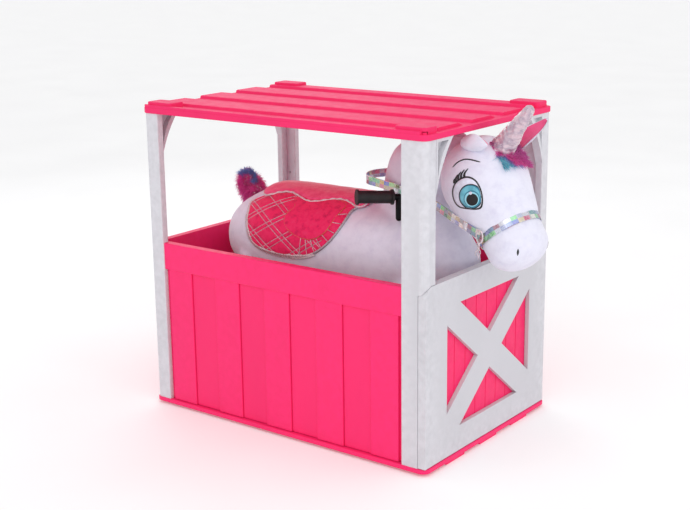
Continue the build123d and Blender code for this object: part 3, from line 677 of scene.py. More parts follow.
def leg_mesh(x, lean, side):
    """A stuffed leg from the hoof into the body."""
    foot = Vector((x, side * LEG_SIDE, 0.092))
    hip = Vector((x + lean, side * 0.098, 0.440))
    points = [foot.lerp(hip, k / 30) for k in range(31)]

    def radius(t):
        fold = 0.0025 * math.sin(t * 26) * (1 - t)
        return 0.043 + 0.010 * t + fold

    return tube_mesh(points, radius, 40)


def build_body():
    """Barrel, neck and legs as one stuffed skin."""
    parts = [barrel_mesh(), neck_mesh()]
    for side in (-1, 1):
        parts.append(leg_mesh(FRONT_LEG, -0.010, side))
        parts.append(leg_mesh(REAR_LEG, 0.060, side))
    vertices, faces = merged(parts)
    skin = make_piece("body_plush", vertices, faces, white_plush)
    stuff(skin, 0.006, 3.0, 0.004)
    normals = [vertex.normal.copy() for vertex in skin.data.vertices]
    for vertex, normal in zip(skin.data.vertices, normals):
        crease = 0.0012 * wobble(vertex.co, 14, 3) + 0.0006 * wobble(vertex.co, 46, 5)
        vertex.co += normal * crease
    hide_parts("torso_plush", "neck_plush", "front_legs", "rear_legs")


HOOF_PROFILE = [                  # radius and height, from the sole's middle to the top's middle
    (0.0, 0.0275), (0.030, 0.0275), (0.046, 0.0285), (0.0495, 0.033), (0.050, 0.042), (0.0485, 0.060),
    (0.0462, 0.078), (0.0450, 0.090), (0.0438, 0.0965), (0.0410, 0.0990), (0.030, 0.0994), (0.0, 0.0994),
]
HOOF_SEAM = (0.0447, 0.0955)


def hoof_mesh(x, y):
    """One padded hoof with a stitched toe."""
    vertices = []
    columns = 56
    curve = smooth_path([Vector((r, z, 0)) for r, z in HOOF_PROFILE], 3)
    for r, z, _ in curve:
        for angle in turns(columns):
            ahead = angle if angle < math.pi else angle - 2 * math.pi
            toe = 1 - 0.05 * math.exp(-ahead ** 2 * 90)
            puff = 1 + 0.006 * math.sin(9 * angle + z * 90)
            reach = max(0.0, r) * toe * puff
            vertices.append(Vector((x + reach * math.cos(angle), y + reach * math.sin(angle), z)))
    return vertices, grid_faces(len(curve), columns, wrap=True)


def build_hooves():
    """Padded foil hooves with a seam round the top."""
    parts = []
    radius, height = HOOF_SEAM
    for x in (FRONT_LEG, REAR_LEG):
        for y in (-LEG_SIDE, LEG_SIDE):
            parts.append(hoof_mesh(x, y))
            ring = [Vector((x + radius * math.cos(a), y + radius * math.sin(a), height)) for a in turns(64)]
            parts.append(tube_mesh(ring, 0.0016, 6, closed=True))
    hooves = make_piece("hoof_covers", *merged(parts), hoof_lame)
    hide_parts("hooves")


# ---- head ------------------------------------------------------------------------------
def head_radius(axial):
    """Half thickness of the head at a place along the line from skull to muzzle."""
    if axial <= 0:
        return math.sqrt(max(0.0, SKULL_RADIUS ** 2 - axial ** 2))
    if axial >= MUZZLE_REACH:
        t = (axial - MUZZLE_REACH) / MUZZLE_LENGTH
        return MUZZLE_RADIUS * math.sqrt(max(0.0, 1 - t * t))
    t = axial / MUZZLE_REACH
    ease = t * t * (3 - 2 * t)
    pinch = 0.0035 * math.exp(-((axial - BAND_PLACE) / 0.016) ** 2)
    return SKULL_RADIUS + (MUZZLE_RADIUS - SKULL_RADIUS) * ease - pinch


def head_way(angle):
    """The way out of the head's axis; angle 0 is the face's front line, positive to its left."""
    return HEAD_FRONT * math.cos(angle) + LEFTWARD * math.sin(angle)


def head_point(axial, angle, lift=0.0):
    """A point of the head's surface, or a little above it."""
    return SKULL + HEAD_AXIS * axial + head_way(angle) * (head_radius(axial) + lift)


def build_head():
    """The stuffed head, with slight dents in its plush."""
    rows = 130
    columns = 128
    start = -SKULL_RADIUS
    end = MUZZLE_REACH + MUZZLE_LENGTH
    vertices = []
    for i in range(rows):
        axial = start + (end - start) * eased(i / (rows - 1))
        for angle in turns(columns):
            point = head_point(axial, angle)
            normal = point - SKULL - HEAD_AXIS * axial
            if normal.length > 1e-5:
                dent = 0.0010 * wobble(point, 18, 2) + 0.0005 * wobble(point, 60, 8)
                point += normal.normalized() * dent
            vertices.append(point)
    head = make_piece("head_skin", vertices, grid_faces(rows, columns, wrap=True), white_plush)
    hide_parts("head_plush")
    return head


def surface_tree(piece):
    """The piece's surface, ready for ray casts."""
    bpy.context.view_layer.update()
    mesh = piece.data
    return BVHTree.FromPolygons([v.co for v in mesh.vertices], [tuple(p.vertices) for p in mesh.polygons])


def middle_of(outline):
    return sum((Vector(p) for p in outline), Vector((0, 0))) / len(outline)


class Patch:
    """Draws flat shapes on the head, as seen along one direction, and lays them on its surface."""

    def __init__(self, tree, centre, gaze, side):
        self.tree = tree
        self.gaze = gaze.normalized()
        self.across = UP.cross(self.gaze).normalized() * -side
        self.upward = self.gaze.cross(UP.cross(self.gaze).normalized())
        self.centre = centre

    def lay(self, u, v, lift):
        start = self.centre + self.across * u + self.upward * v + self.gaze * 0.2
        hit, normal, _, _ = self.tree.ray_cast(start, -self.gaze)
        if hit is None:
            hit, normal, _, _ = self.tree.find_nearest(start - self.gaze * 0.2)
        return hit + normal * lift

    def shape(self, outline, lift, rings=10):
        """A filled outline of (u, v) points, as a thin cushion on the surface."""
        middle = middle_of(outline)
        vertices = []
        count = len(outline)
        for ring in range(rings + 1):
            t = 1 - ring / rings
            for point in outline:
                place = middle + (Vector(point) - middle) * t
                vertices.append(self.lay(place.x, place.y, lift))
        faces = grid_faces(rings + 1, count, wrap=True)
        skirt = len(vertices)
        for point in outline:
            vertices.append(self.lay(point[0], point[1], -0.001))
        for j in range(count):
            k = (j + 1) % count
            faces.append((j, k, skirt + k, skirt + j))
        return vertices, faces


def closed_curve(points, steps=8):
    """A smooth closed outline through a few points."""
    path = smooth_path([Vector((u, v, 0)) for u, v in points], steps, closed=True)
    return [(p.x, p.y) for p in path]


def circle(u, v, radius, count=40):
    return [(u + radius * math.cos(a), v + radius * math.sin(a)) for a in turns(count)]


def clipped(outline, points):
    """Pulls each point that lies outside the outline back to it, towards the outline's middle."""
    middle = middle_of(outline)
    result = []
    for point in points:
        place = Vector(point)
        for _ in range(60):
            if inside(outline, place):
                break
            place = middle + (place - middle) * 0.97
        result.append((place.x, place.y))
    return result


def inside(outline, place):
    """Whether a place lies within an outline: a ray from it crosses the outline an odd number of times."""
    hits = False
    count = len(outline)
    for k in range(count):
        ax, ay = outline[k]
        bx, by = outline[(k + 1) % count]
        if (ay > place.y) != (by > place.y):
            if place.x < (bx - ax) * (place.y - ay) / (by - ay) + ax:
                hits = not hits
    return hits


def scaled(outline, factor):
    """The outline, larger or smaller about its middle."""
    middle = middle_of(outline)
    return [tuple(middle + (Vector(p) - middle) * factor) for p in outline]


def stroke(points, start_width, end_width):
    """The left and right edges of a tapering brush stroke along a few points."""
    path = smooth_path([Vector((u, v, 0)) for u, v in points], 8)
    left = []
    right = []
    count = len(path)
    for i, point in enumerate(path):
        along = path[min(count - 1, i + 1)] - path[max(0, i - 1)]
        across = Vector((-along.y, along.x, 0)).normalized()
        t = i / (count - 1)
        half = 0.5 * (start_width + (end_width - start_width) * t)
        half *= min(1.0, 0.35 + 6 * min(t, 1 - t))
        left.append(point + across * half)
        right.append(point - across * half)
    return [(p.x, p.y) for p in left], [(p.x, p.y) for p in right]


def stroke_mesh(patch, points, start_width, end_width, lift):
    """A brush stroke laid on the head, with a skirt that reaches into the plush."""
    left, right = stroke(points, start_width, end_width)
    vertices = []
    for height in (lift, -0.001):
        vertices += [patch.lay(u, v, height) for u, v in left]
        vertices += [patch.lay(u, v, height) for u, v in right]
    count = len(left)
    faces = []
    for i in range(count - 1):
        faces.append((i, i + 1, count + i + 1, count + i))
        faces.append((i, 2 * count + i, 2 * count + i + 1, i + 1))
        faces.append((count + i, count + i + 1, 3 * count + i + 1, 3 * count + i))
    faces.append((0, count, 3 * count, 2 * count))
    faces.append((count - 1, 3 * count - 1, 4 * count - 1, 2 * count - 1))
    return vertices, faces


EYE_OUTLINE = [                   # across and up from the eye's middle
    (-0.041, 0.000), (-0.034, 0.022), (-0.017, 0.037), (0.003, 0.041), (0.022, 0.032), (0.035, 0.012),
    (0.041, -0.012), (0.039, -0.034), (0.026, -0.041), (0.000, -0.041), (-0.022, -0.038), (-0.036, -0.024),
]

IRIS_RIM = (0.010, -0.009, 0.0315)
IRIS_LAYERS = [                   # thread, across, up, radius and lift of each disc of the iris
    ("deep", 0.010, -0.009, 0.0288, 0.0018),
    ("teal", 0.008, -0.008, 0.0262, 0.0021),
    ("deep", 0.013, -0.014, 0.0205, 0.0024),
    ("light", 0.013, -0.015, 0.0186, 0.0027),
]
LASHES = [(-0.034, 0.020), (-0.030, 0.026), (-0.024, 0.030), (-0.017, 0.031), (-0.009, 0.029)]
BROW = [(-0.041, 0.062), (-0.026, 0.076), (-0.004, 0.083), (0.030, 0.077)]
NOSTRIL = [(0.0, 0.009), (0.0028, 0.0), (0.0, -0.009), (-0.0028, 0.0)]


def draw_eye(patch, groups):
    """One embroidered eye with its lashes and brow, thread by thread."""
    eye = closed_curve(EYE_OUTLINE)
    rim = scaled(eye, 0.905)
    inner = scaled(rim, 0.985)
    groups["black"].append(patch.shape(eye, 0.0006))
    groups["white"].append(patch.shape(rim, 0.0011))
    groups["black"].append(patch.shape(clipped(rim, circle(*IRIS_RIM)), 0.0015))
    for thread, u, v, radius, lift in IRIS_LAYERS:
        groups[thread].append(patch.shape(clipped(inner, circle(u, v, radius)), lift))
    groups["black"].append(patch.shape(circle(0.0145, -0.016, 0.0150), 0.0030))
    groups["white"].append(patch.shape(circle(0.010, 0.000, 0.0040, 20), 0.0033, 4))
    for k, (foot, reach) in enumerate(LASHES):
        base = (foot, 0.022 + k * 0.0043)
        tip = (foot + 0.004 + k * 0.0015, base[1] + reach * 0.72)
        bend = ((base[0] + tip[0]) / 2 - 0.003, (base[1] + tip[1]) / 2)
        groups["black"].append(stroke_mesh(patch, [base, bend, tip], 0.0066, 0.0014, 0.0014))
    groups["black"].append(stroke_mesh(patch, BROW, 0.0026, 0.0032, 0.0008))


def build_face(head):
    """Embroidered eyes with lashes and brow, and the nostrils, on both sides of the head."""
    tree = surface_tree(head)
    groups = {"black": [], "white": [], "teal": [], "deep": [], "light": []}
    for side in (-1, 1):
        out = LEFTWARD * side
        gaze = FORWARD * 0.60 + out * 0.78 + UP * 0.16
        draw_eye(Patch(tree, SKULL + FORWARD * 0.031 + out * 0.09 + UP * -0.018, gaze, side), groups)
        gaze = FORWARD * 0.80 + out * 0.55 + UP * 0.05
        muzzle = Patch(tree, SKULL + HEAD_AXIS * 0.196 + out * 0.02, gaze, side)
        groups["black"].append(muzzle.shape(closed_curve(NOSTRIL, 6), 0.0006, 4))
    materials = {
        "black": ink_black, "white": eye_white, "teal": iris_teal, "deep": iris_deep, "light": iris_light,
    }
    for name, parts in groups.items():
        piece = make_piece("face_" + name, *merged(parts), materials[name])


# ---- ears and horn ---------------------------------------------------------------------
def ear_form(base, tip, side_way, width, thickness, cup):
    """A puffed leaf from base to tip; cup is how far its lined side is pressed in."""
    along = tip - base
    way = along.normalized()
    across = (side_way - way * side_way.dot(way)).normalized()
    face = across.cross(way)
    shell = []
    rows = 36
    columns = 40
    for i in range(rows):
        t = i / (rows - 1)
        swell = max(0.0, math.sin(math.pi * min(1.0, 0.16 + 0.84 * t) ** 0.9)) ** 0.75
        centre = base + along * t
        for angle in turns(columns):
            a = math.cos(angle) * width * swell
            b = math.sin(angle) * thickness * swell
            inward = cup * swell * max(0.0, 1 - (a / (width * 0.98)) ** 2) if b > 0 else 0.0
            bend = 0.35 * (a / width) ** 2 * width * swell
            shell.append(centre + across * a + face * (b - inward + bend))
    return shell, capped_faces(rows, columns), (rows, columns, face)


def ear_lining(shell, shape, inset):
    """The pink lining that lies in the cupped side of an ear."""
    rows, columns, face = shape
    lift = 0.0012
    first = 3
    total = rows - 2 - first
    vertices = []
    half = columns // 2
    for i in range(first, first + total):
        row = shell[i * columns:(i + 1) * columns]
        middle = sum(row[:half + 1], Vector()) / (half + 1)
        for j in range(half + 1):
            vertices.append(middle + (row[j] - middle) * inset + face * lift * 2)
        for j in range(half, -1, -1):
            vertices.append(middle + (row[j] - middle) * inset - face * lift)
    return vertices, capped_faces(total, 2 * (half + 1))


def build_ears():
    """The folded near ear and the upright far ear, each with its lining."""
    near = ear_form(
        Vector((0.448, -0.098, 0.826)), Vector((0.534, -0.128, 0.832)), Vector((-0.2, -0.3, 1)),
        width=0.0225, thickness=0.020, cup=0.004,
    )
    far = ear_form(
        Vector((0.532, 0.020, 0.806)), Vector((0.606, 0.046, 0.884)), Vector((0.62, -0.30, -0.66)),
        width=0.0205, thickness=0.010, cup=0.010,
    )
    shells = make_piece("ear_shells", *merged([near[:2], far[:2]]), white_plush)
    linings = [ear_lining(near[0], near[2], 0.80), ear_lining(far[0], far[2], 0.86)]
    lining = make_piece("ear_linings", *merged(linings), ear_pink)
    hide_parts("ears")


HORN_WAY = (FORWARD * 0.632 + UP * 0.775).normalized()
HORN_FOOT = SKULL + FORWARD * 0.060 + UP * 0.084


def build_horn():
    """A puckered cone with three twisted folds and a rounded tip."""
    across = HORN_WAY.cross(LEFTWARD).normalized()
    rows = 110
    columns = 96
    vertices = []
    for i in range(rows):
        reach = -HORN_ROOT + (HORN_LENGTH + HORN_ROOT) * (i / (rows - 1))
        frac = max(0.0, reach / HORN_LENGTH)
        tip = max(0.0, (reach - (HORN_LENGTH - HORN_TIP)) / HORN_TIP)
        radius = (0.036 - 0.023 * frac) * math.sqrt(max(0.0, 1 - tip * tip))
        for angle in turns(columns):
            fold = math.sin(3 * angle + frac * 9.5)
            pucker = math.sin(frac * 62 + 2.2 * math.sin(angle * 2))
            place = Vector((math.cos(angle), math.sin(angle), frac * 3))
            rough = wobble(place, 2.4, 4) + 0.5 * wobble(place, 6, 9)
            r = radius * (0.95 - 0.07 * abs(fold) ** 0.6 + 0.018 * pucker + 0.05 * rough)
            out = LEFTWARD * math.cos(angle) + across * math.sin(angle)
            vertices.append(HORN_FOOT + HORN_WAY * reach + out * r)
    faces = grid_faces(rows, columns, wrap=True)
    faces.append(tuple(range(columns)))
    horn = make_piece("horn_cone", vertices, faces, horn_foil)
    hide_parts("horn")


# ---- long pile -------------------------------------------------------------------------
def strand(root, way, length, width, droop, rng):
    """One tapering lock as a three-sided blade."""
    side = way.cross(UP)
    if side.length < 0.05:
        side = way.cross(Vector((1, 0, 0)))
    side.normalize()
    lift = side.cross(way).normalized()
    rings = 4
    vertices = []
    curl = rng.uniform(-0.12, 0.12)
    for i in range(rings):
        t = i / rings
        bend = side * (curl * length * t * t) - UP * (droop * length * t * t)
        centre = root + way * (length * t) + bend
        r = width * (1 - t) ** 0.7
        for angle in turns(3):
            vertices.append(centre + side * (r * math.cos(angle)) + lift * (r * 0.7 * math.sin(angle)))
    vertices.append(root + way * length + side * (curl * length) - UP * (droop * length))
    faces = grid_faces(rings, 3, wrap=True)
    last = (rings - 1) * 3
    tip = rings * 3
    for k in range(3):
        faces.append((last + k, last + (k + 1) % 3, tip))
    faces.append((2, 1, 0))
    return vertices, faces


def fur_piece(
    name, replaced, material, place, seed, count, length, width, comb, droop, spread=0.6, keep=None,
):
    """Locks grown from places on a form: place(u, v) gives a root and its outward way."""
    rng = random.Random(seed)
    parts = []
    for _ in range(count):
        root, out = place(rng.random(), rng.random())
        clump = Vector((wobble(root, 60, 1), wobble(root, 60, 4), wobble(root, 60, 7)))
        loose = Vector((rng.gauss(0, 1), rng.gauss(0, 1), rng.gauss(0, 1))) * 0.18
        way = (out * spread + comb + clump * 0.7 + loose).normalized()
        reach = length * rng.uniform(0.65, 1.1)
        if keep and not keep(root + way * reach - UP * (droop * reach)):
            continue
        parts.append(strand(root - way * 0.004, way, reach, width * rng.uniform(0.7, 1.2), droop, rng))
    piece = make_piece(name, *merged(parts), material)
    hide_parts(replaced)


def egg(centre, radii, turn):
    """place(u, v) on an ellipsoid that is turned by a matrix."""
    def place(u, v):
        height = 2 * u - 1
        angle = 2 * math.pi * v
        flat = math.sqrt(max(0.0, 1 - height * height))
        unit = Vector((flat * math.cos(angle), flat * math.sin(angle), height))
        point = Vector((unit.x * radii[0], unit.y * radii[1], unit.z * radii[2]))
        out = Vector((unit.x / radii[0], unit.y / radii[1], unit.z / radii[2])).normalized()
        return centre + turn @ point, turn @ out
    return place


def build_tail():
    """A tuft that hangs over the rump, clear of the plush under it."""
    stops = [
        (0.0, (240, 130, 200)), (0.25, MAGENTA), (0.62, MAGENTA), (0.7, (84, 130, 214)),
        (0.78, (90, 156, 220)), (0.86, MAGENTA), (1.0, (222, 60, 170)),
    ]
    dyed = fur("tail_fur", stops, (0.35, 0, 0.94), 0.37, 6.5)
    turn = Matrix.Rotation(math.radians(54), 3, "Y")
    place = egg(Vector((-0.350, 0.014, 0.590)), (0.076, 0.032, 0.028), turn)

    def keep(tip):
        height = math.hypot(tip.y, tip.z - BODY_HEIGHT)
        low = height < body_radius(tip.x) - 0.004 and tip.x > BODY_REAR
        return tip.x > -0.440 and not low

    fur_piece(
        "tail_locks", "tail", dyed, place, seed=11, count=4200, length=0.026, width=0.0015,
        comb=Vector((-0.1, 0, -0.12)), droop=0.25, keep=keep,
    )


def build_forelock():
    """Short locks over the brow, combed down the face."""
    stops = [
        (0.0, CYAN), (0.34, (84, 190, 212)), (0.46, (110, 120, 200)), (0.54, MAGENTA),
        (1.0, (196, 26, 146)),
    ]
    drift = LEFTWARD * 0.5 + UP * 0.85
    dyed = fur("forelock_fur", stops, drift, SKULL.dot(drift) + 0.018, 17.0)

    def place(u, v):
        point = head_point(-0.058 + 0.078 * u, -0.30 + 1.05 * v, -0.001)
        return point, (point - SKULL).normalized()

    fur_piece(
        "forelock_locks", "forelock", dyed, place, seed=23, count=2600, length=0.028, width=0.0014,
        comb=HEAD_AXIS * 0.55, droop=0.12, spread=0.55,
    )


def build_mane():
    """Locks down the left side and back of the neck."""
    stops = [(0.0, CYAN), (0.35, (96, 120, 206)), (0.5, MAGENTA), (1.0, (210, 60, 160))]
    dyed = fur("mane_fur", stops, UP, 0.69, 8.0)

    def place(u, v):
        height = 0.722 + 0.095 * u
        angle = math.radians(72 + 96 * v)
        middle, along, across = neck_at(height)
        point = Vector((middle + along * math.cos(angle), across * math.sin(angle), height))
        out = Vector((math.cos(angle) / along, math.sin(angle) / across, 0)).normalized()
        return point, out

    def keep(tip):
        return 0.716 < tip.z < 0.852

    fur_piece(
        "mane_locks", "mane", dyed, place, seed=31, count=3000, length=0.024, width=0.0016,
        comb=Vector((0.0, 0.15, -0.75)), droop=0.2, spread=0.45, keep=keep,
    )


def neck_at(height):
    """Middle, half length and half width of the neck at a height."""
    for low, high in zip(NECK_SECTIONS, NECK_SECTIONS[1:]):
        if height <= high[0]:
            t = max(0.0, (height - low[0]) / (high[0] - low[0]))
            return tuple(a + (b - a) * t for a, b in zip(low[1:], high[1:]))
    return NECK_SECTIONS[-1][1:]


# ---- saddle ----------------------------------------------------------------------------
SADDLE_REAR = -0.262
SEAT_FRONT = 0.128
SEAT_THICK = 0.0080
FLAP_THICK = 0.0052
SADDLE_GAP = 0.0006
FLAP_BASE = SADDLE_GAP + 0.0012
FLAP_RINGS = 70
FRILL_COLUMNS = 7
THREAD_RADIUS = 0.0011
QUILT_PITCH = 0.058
QUILT_PAIR = 0.013
QUILT_SLOPE = math.radians(32)
UNROLL_RADIUS = BODY_RADIUS + 0.004   # the flank is flattened at this radius
FLAP_OUTLINE = [                  # place along the body, angle down from its top in degrees
    (-0.262, 33), (-0.266, 52), (-0.249, 70), (-0.215, 85), (-0.150, 91), (-0.060, 91), (0.006, 85),
    (0.054, 72), (0.080, 56), (0.089, 38), (0.088, 22), (-0.080, 20),
]
OUTLINE_STEPS = 14
FRILL_CORNERS = 6                 # corners of the outline up to which the frill is sewn on
PIPING_CORNERS = 10
PATCH_OUTLINE = [
    (-0.104, 27), (-0.100, 42), (-0.116, 52), (-0.104, 63), (-0.060, 71), (-0.005, 72), (0.034, 64),
    (0.050, 49), (0.052, 27),
]


def on_body(x, angle, lift, side=-1):
    """A point over the body: angle is measured down from the top, towards one side."""
    radius = body_radius(x) + lift
    a = math.radians(angle)
    return Vector((x, side * radius * math.sin(a), BODY_HEIGHT + radius * math.cos(a)))


def seat_edge(x):
    """The wavy edge between seat and flap, in degrees from the top."""
    return 25.5 + 4.5 * math.cos(2 * math.pi * (x + 0.245) / 0.185)


def seat_width(x):
    """Half the seat's width in degrees, narrower at its rounded ends."""
    rear = dome((x - SADDLE_REAR) / 0.05)
    front = dome((SEAT_FRONT - x) / 0.03)
    return seat_edge(x) * (0.35 + 0.65 * (rear * front))


def build_seat():
    """The padded seat and the crinkled piping along both its edges."""
    rows = 120
    columns = 90
    top = []
    bottom = []
    for i in range(rows):
        x = SADDLE_REAR + (SEAT_FRONT - SADDLE_REAR) * eased(i / (rows - 1))
        span = seat_width(x) + 1.5
        ends = dome(min((x - SADDLE_REAR) / 0.014, (SEAT_FRONT - x) / 0.014))
        for j in range(columns):
            s = -1 + 2 * j / (columns - 1)
            crown = dome((1 - abs(s)) / 0.16) * ends
            dimple = 0.0010 * wobble((x, s * 0.1, 0), 30, 6)
            rear_roll = 0.003 * math.exp(-((x - SADDLE_REAR - 0.03) / 0.03) ** 2)
            lift = SADDLE_GAP + 0.0015 + (SEAT_THICK + dimple + rear_roll) * crown
            side = -1 if s < 0 else 1
            top.append(on_body(x, abs(s) * span, lift, side))
            bottom.append(on_body(x, abs(s) * span, SADDLE_GAP, side))
    parts = slab(top, bottom, grid_faces(rows, columns), grid_border(rows, columns))
    seat = make_piece("saddle_pad", *parts, seat_velvet)
    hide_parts("saddle_seat")

    piping = []
    last = 159
    for side in (-1, 1):
        path = []
        for k in range(last + 1):
            x = SADDLE_REAR + 0.006 + (SEAT_FRONT - SADDLE_REAR - 0.012) * k / last
            ripple = 0.0011 * math.sin(x * 260) + 0.0009 * wobble((x, 0, side), 90, 2)
            path.append(on_body(x, seat_width(x) + 2.2, 0.0072 + ripple, side))
        piping.append(tube_mesh(path, 0.0028, 10))
    edge = make_piece("seat_piping", *merged(piping), silver_lame)


def flat(outline):
    """Outline in metres along the body and down its flank."""
    return [(x, math.radians(angle) * UNROLL_RADIUS) for x, angle in outline]


def flank(u, v, lift, side):
    """The point over the body at a place of the flattened flank."""
    return on_body(u, math.degrees(v / UNROLL_RADIUS), lift, side)


def quilt_lines():
    """The two families of double diagonals, as (direction, normal, offsets)."""
    down = Vector((math.cos(QUILT_SLOPE), math.sin(QUILT_SLOPE)))
    rising = Vector((math.cos(QUILT_SLOPE), -math.sin(QUILT_SLOPE)))
    offsets = []
    for k in range(-6, 7):
        offsets.append(k * QUILT_PITCH)
        offsets.append(k * QUILT_PITCH + QUILT_PAIR)
    return [(way, Vector((-way.y, way.x)), offsets) for way in (down, rising)]


def quilt_depth(place):
    """1 on a quilting line, falling to 0 a few millimetres away."""
    depth = 0.0
    for _, normal, offsets in quilt_lines():
        across = place.dot(normal)
        nearest = min(abs(across - offset) for offset in offsets)
        depth = max(depth, math.exp(-(nearest / 0.0035) ** 2))
    return depth


def flap_outlines(side):
    """The flap's own outline and its patch's; the left flap leaves room for the switch panel."""
    outline = FLAP_OUTLINE
    patch = PATCH_OUTLINE
    if side > 0:
        outline = [(min(x, 0.050), angle) for x, angle in outline]
        patch = [(x - 0.03, angle) for x, angle in patch]
    return closed_curve(flat(outline), OUTLINE_STEPS), closed_curve(flat(patch), 10)


def flap_mesh(outer, inner, side):
    """One padded flap, pressed in along its quilting and raised over its patch."""
    middle = middle_of(outer)
    count = len(outer)
    top = []
    bottom = []
    for ring in range(FLAP_RINGS + 1):
        t = 1 - ring / FLAP_RINGS
        crown = dome((1 - t) / 0.05)
        for point in outer:
            place = middle + (Vector(point) - middle) * t
            puff = 1.15 if inside(inner, place) else 1 - 0.55 * quilt_depth(place)
            lift = FLAP_BASE + FLAP_THICK * crown * puff + 0.0003 * wobble((*place, 0), 60, 3)
            top.append(flank(place.x, place.y, lift, side))
            bottom.append(flank(place.x, place.y, SADDLE_GAP, side))
    return slab(top, bottom, grid_faces(FLAP_RINGS + 1, count, wrap=True), list(range(count)))


def thread(run, least):
    """A list of one tube of thread, or an empty one where the run is too short."""
    return [tube_mesh(run, THREAD_RADIUS, 6)] if len(run) > least else []


def quilt_stitches(outer, inner, side):
    """Threads along the quilting lines, where neither the seat nor the patch covers them."""
    sewn = scaled(outer, 0.965)
    plain = scaled(inner, 1.04)
    tubes = []
    for way, normal, offsets in quilt_lines():
        for offset in offsets:
            run = []
            for k in range(-220, 221):
                place = normal * offset + way * (k * 0.002)
                open_area = place.x < 0.03 and (place.x < -0.085 or place.y > 0.185)
                if open_area and inside(sewn, place) and not inside(plain, place):
                    run.append(flank(place.x, place.y, FLAP_BASE + FLAP_THICK * 0.52, side))
                else:
                    tubes += thread(run, 6)
                    run = []
            tubes += thread(run, 6)
    return tubes


def patch_rays(outer, inner, side):
    """Threads that fan out from the patch to the flap's edge."""
    centre = middle_of(inner)
    plain = scaled(inner, 1.02)
    sewn = scaled(outer, 0.975)
    tubes = []
    for degrees in range(-14, 96, 15):
        way = Vector((math.cos(math.radians(degrees)), math.sin(math.radians(degrees))))
        run = []
        for k in range(200):
            place = centre + way * (k * 0.001)
            if not inside(plain, place) and inside(sewn, place):
                run.append(flank(place.x, place.y, FLAP_BASE + FLAP_THICK, side))
        tubes += thread(run, 5)
    return tubes


def build_flaps():
    """Both quilted flaps with their stitches, frill and piping."""
    velvets, silver, gold, ruffle, edges = [], [], [], [], []
    for side in (-1, 1):
        outer, inner = flap_outlines(side)
        velvets.append(flap_mesh(outer, inner, side))
        silver += quilt_stitches(outer, inner, side) + patch_rays(outer, inner, side)
        hem = [flank(u, v, SADDLE_GAP + FLAP_THICK * 1.18, side) for u, v in inner]
        gold.append(tube_mesh(hem, 0.0009, 6, closed=True))
        frill_end = OUTLINE_STEPS * FRILL_CORNERS
        ruffle.append(frill_mesh(outer[:frill_end + 1], middle_of(outer), side))
        piped = outer[frill_end:OUTLINE_STEPS * PIPING_CORNERS]
        edges.append(tube_mesh([flank(u, v, SADDLE_GAP + 0.0034, side) for u, v in piped], 0.0034, 10))
    flaps = make_piece("saddle_quilt", *merged(velvets), flap_velvet)
    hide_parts("saddle_flaps")
    for name, parts, material in (
        ("quilt_stitches", silver, silver_thread), ("patch_stitches", gold, gold_thread),
        ("saddle_ruffle", ruffle, silver_lame), ("flap_piping", edges, grey_piping),
    ):
        piece = make_piece(name, *merged(parts), material)


def frill_mesh(edge, middle, side):
    """A gathered silver ribbon along the part of the edge where the frill is sewn."""
    path = smooth_path([Vector((u, v, 0)) for u, v in edge], 4)
    last = FRILL_COLUMNS - 1
    top = []
    for i, point in enumerate(path):
        away = (Vector((point.x, point.y)) - middle).normalized()
        gather = math.sin(i * 1.15) + 0.7 * wobble((i * 0.05, side, 0), 7, 5)
        for s in range(FRILL_COLUMNS):
            reach = -0.004 + 0.0125 * s / last + 0.0010 * gather
            flare = 0.0016 * gather * (0.3 + s / last)
            place = Vector((point.x, point.y)) + away * reach
            lift = SADDLE_GAP + 0.0046 + flare + 0.0015 * math.sin(s)
            top.append(flank(place.x, place.y, lift, side))
    thin = [flank_back(p, 0.0009) for p in top]
    rows = len(path)
    return slab(top, thin, grid_faces(rows, FRILL_COLUMNS), grid_border(rows, FRILL_COLUMNS))


def flank_back(point, depth):
    """The point a little nearer to the body's axis."""
    inward = Vector((0, point.y, point.z - BODY_HEIGHT))
    return point - inward.normalized() * depth


# ---- bridle ----------------------------------------------------------------------------
STRAP_SECTION = [                 # across, outward, and place across the print, from edge to edge
    (-1, 1, 0), (-0.9, 1.25, 0.1), (0.9, 1.25, 0.9), (1, 1, 1), (1, -1, 1), (-1, -1, 0),
]
STRAP_THICK = 0.0011              # half of it


def band_piece(name, rows, half_width, closed=False):
    """A flat foil strap from rows of (centre, across its width, away from what it lies on)."""
    sides = len(STRAP_SECTION)
    vertices = []
    lengths = [0.0]
    for centre, wide, away in rows:
        for a, b, _ in STRAP_SECTION:
            vertices.append(centre + wide * (half_width * a) + away * (STRAP_THICK * b))
    for (a, _, _), (b, _, _) in zip(rows, rows[1:]):
        lengths.append(lengths[-1] + (b - a).length)
    faces = looped_faces(len(rows), sides) if closed else capped_faces(len(rows), sides)
    piece = make_piece(name, vertices, faces, strap_foil, smooth=False)
    layer = piece.data.uv_layers.new(name="UVMap")
    for loop in piece.data.loops:
        row, column = divmod(loop.vertex_index, sides)
        layer.data[loop.index].uv = (lengths[row], STRAP_SECTION[column][2] * 2 * half_width)
    return piece


def build_noseband():
    """A closed band round the muzzle."""
    rows = []
    for angle in turns(120):
        away = head_way(angle).normalized()
        ripple = 0.0006 * math.sin(13 * angle)
        rows.append((head_point(BAND_PLACE, angle, 0.0022) + away * ripple, HEAD_AXIS, away))
    band = band_piece("nose_strap", rows, BAND_WIDTH / 2, closed=True)
    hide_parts("noseband")


def rein_ring_place(side):
    return SKULL + HEAD_AXIS * BAND_PLACE + LEFTWARD * (side * 0.095) - FORWARD * 0.014


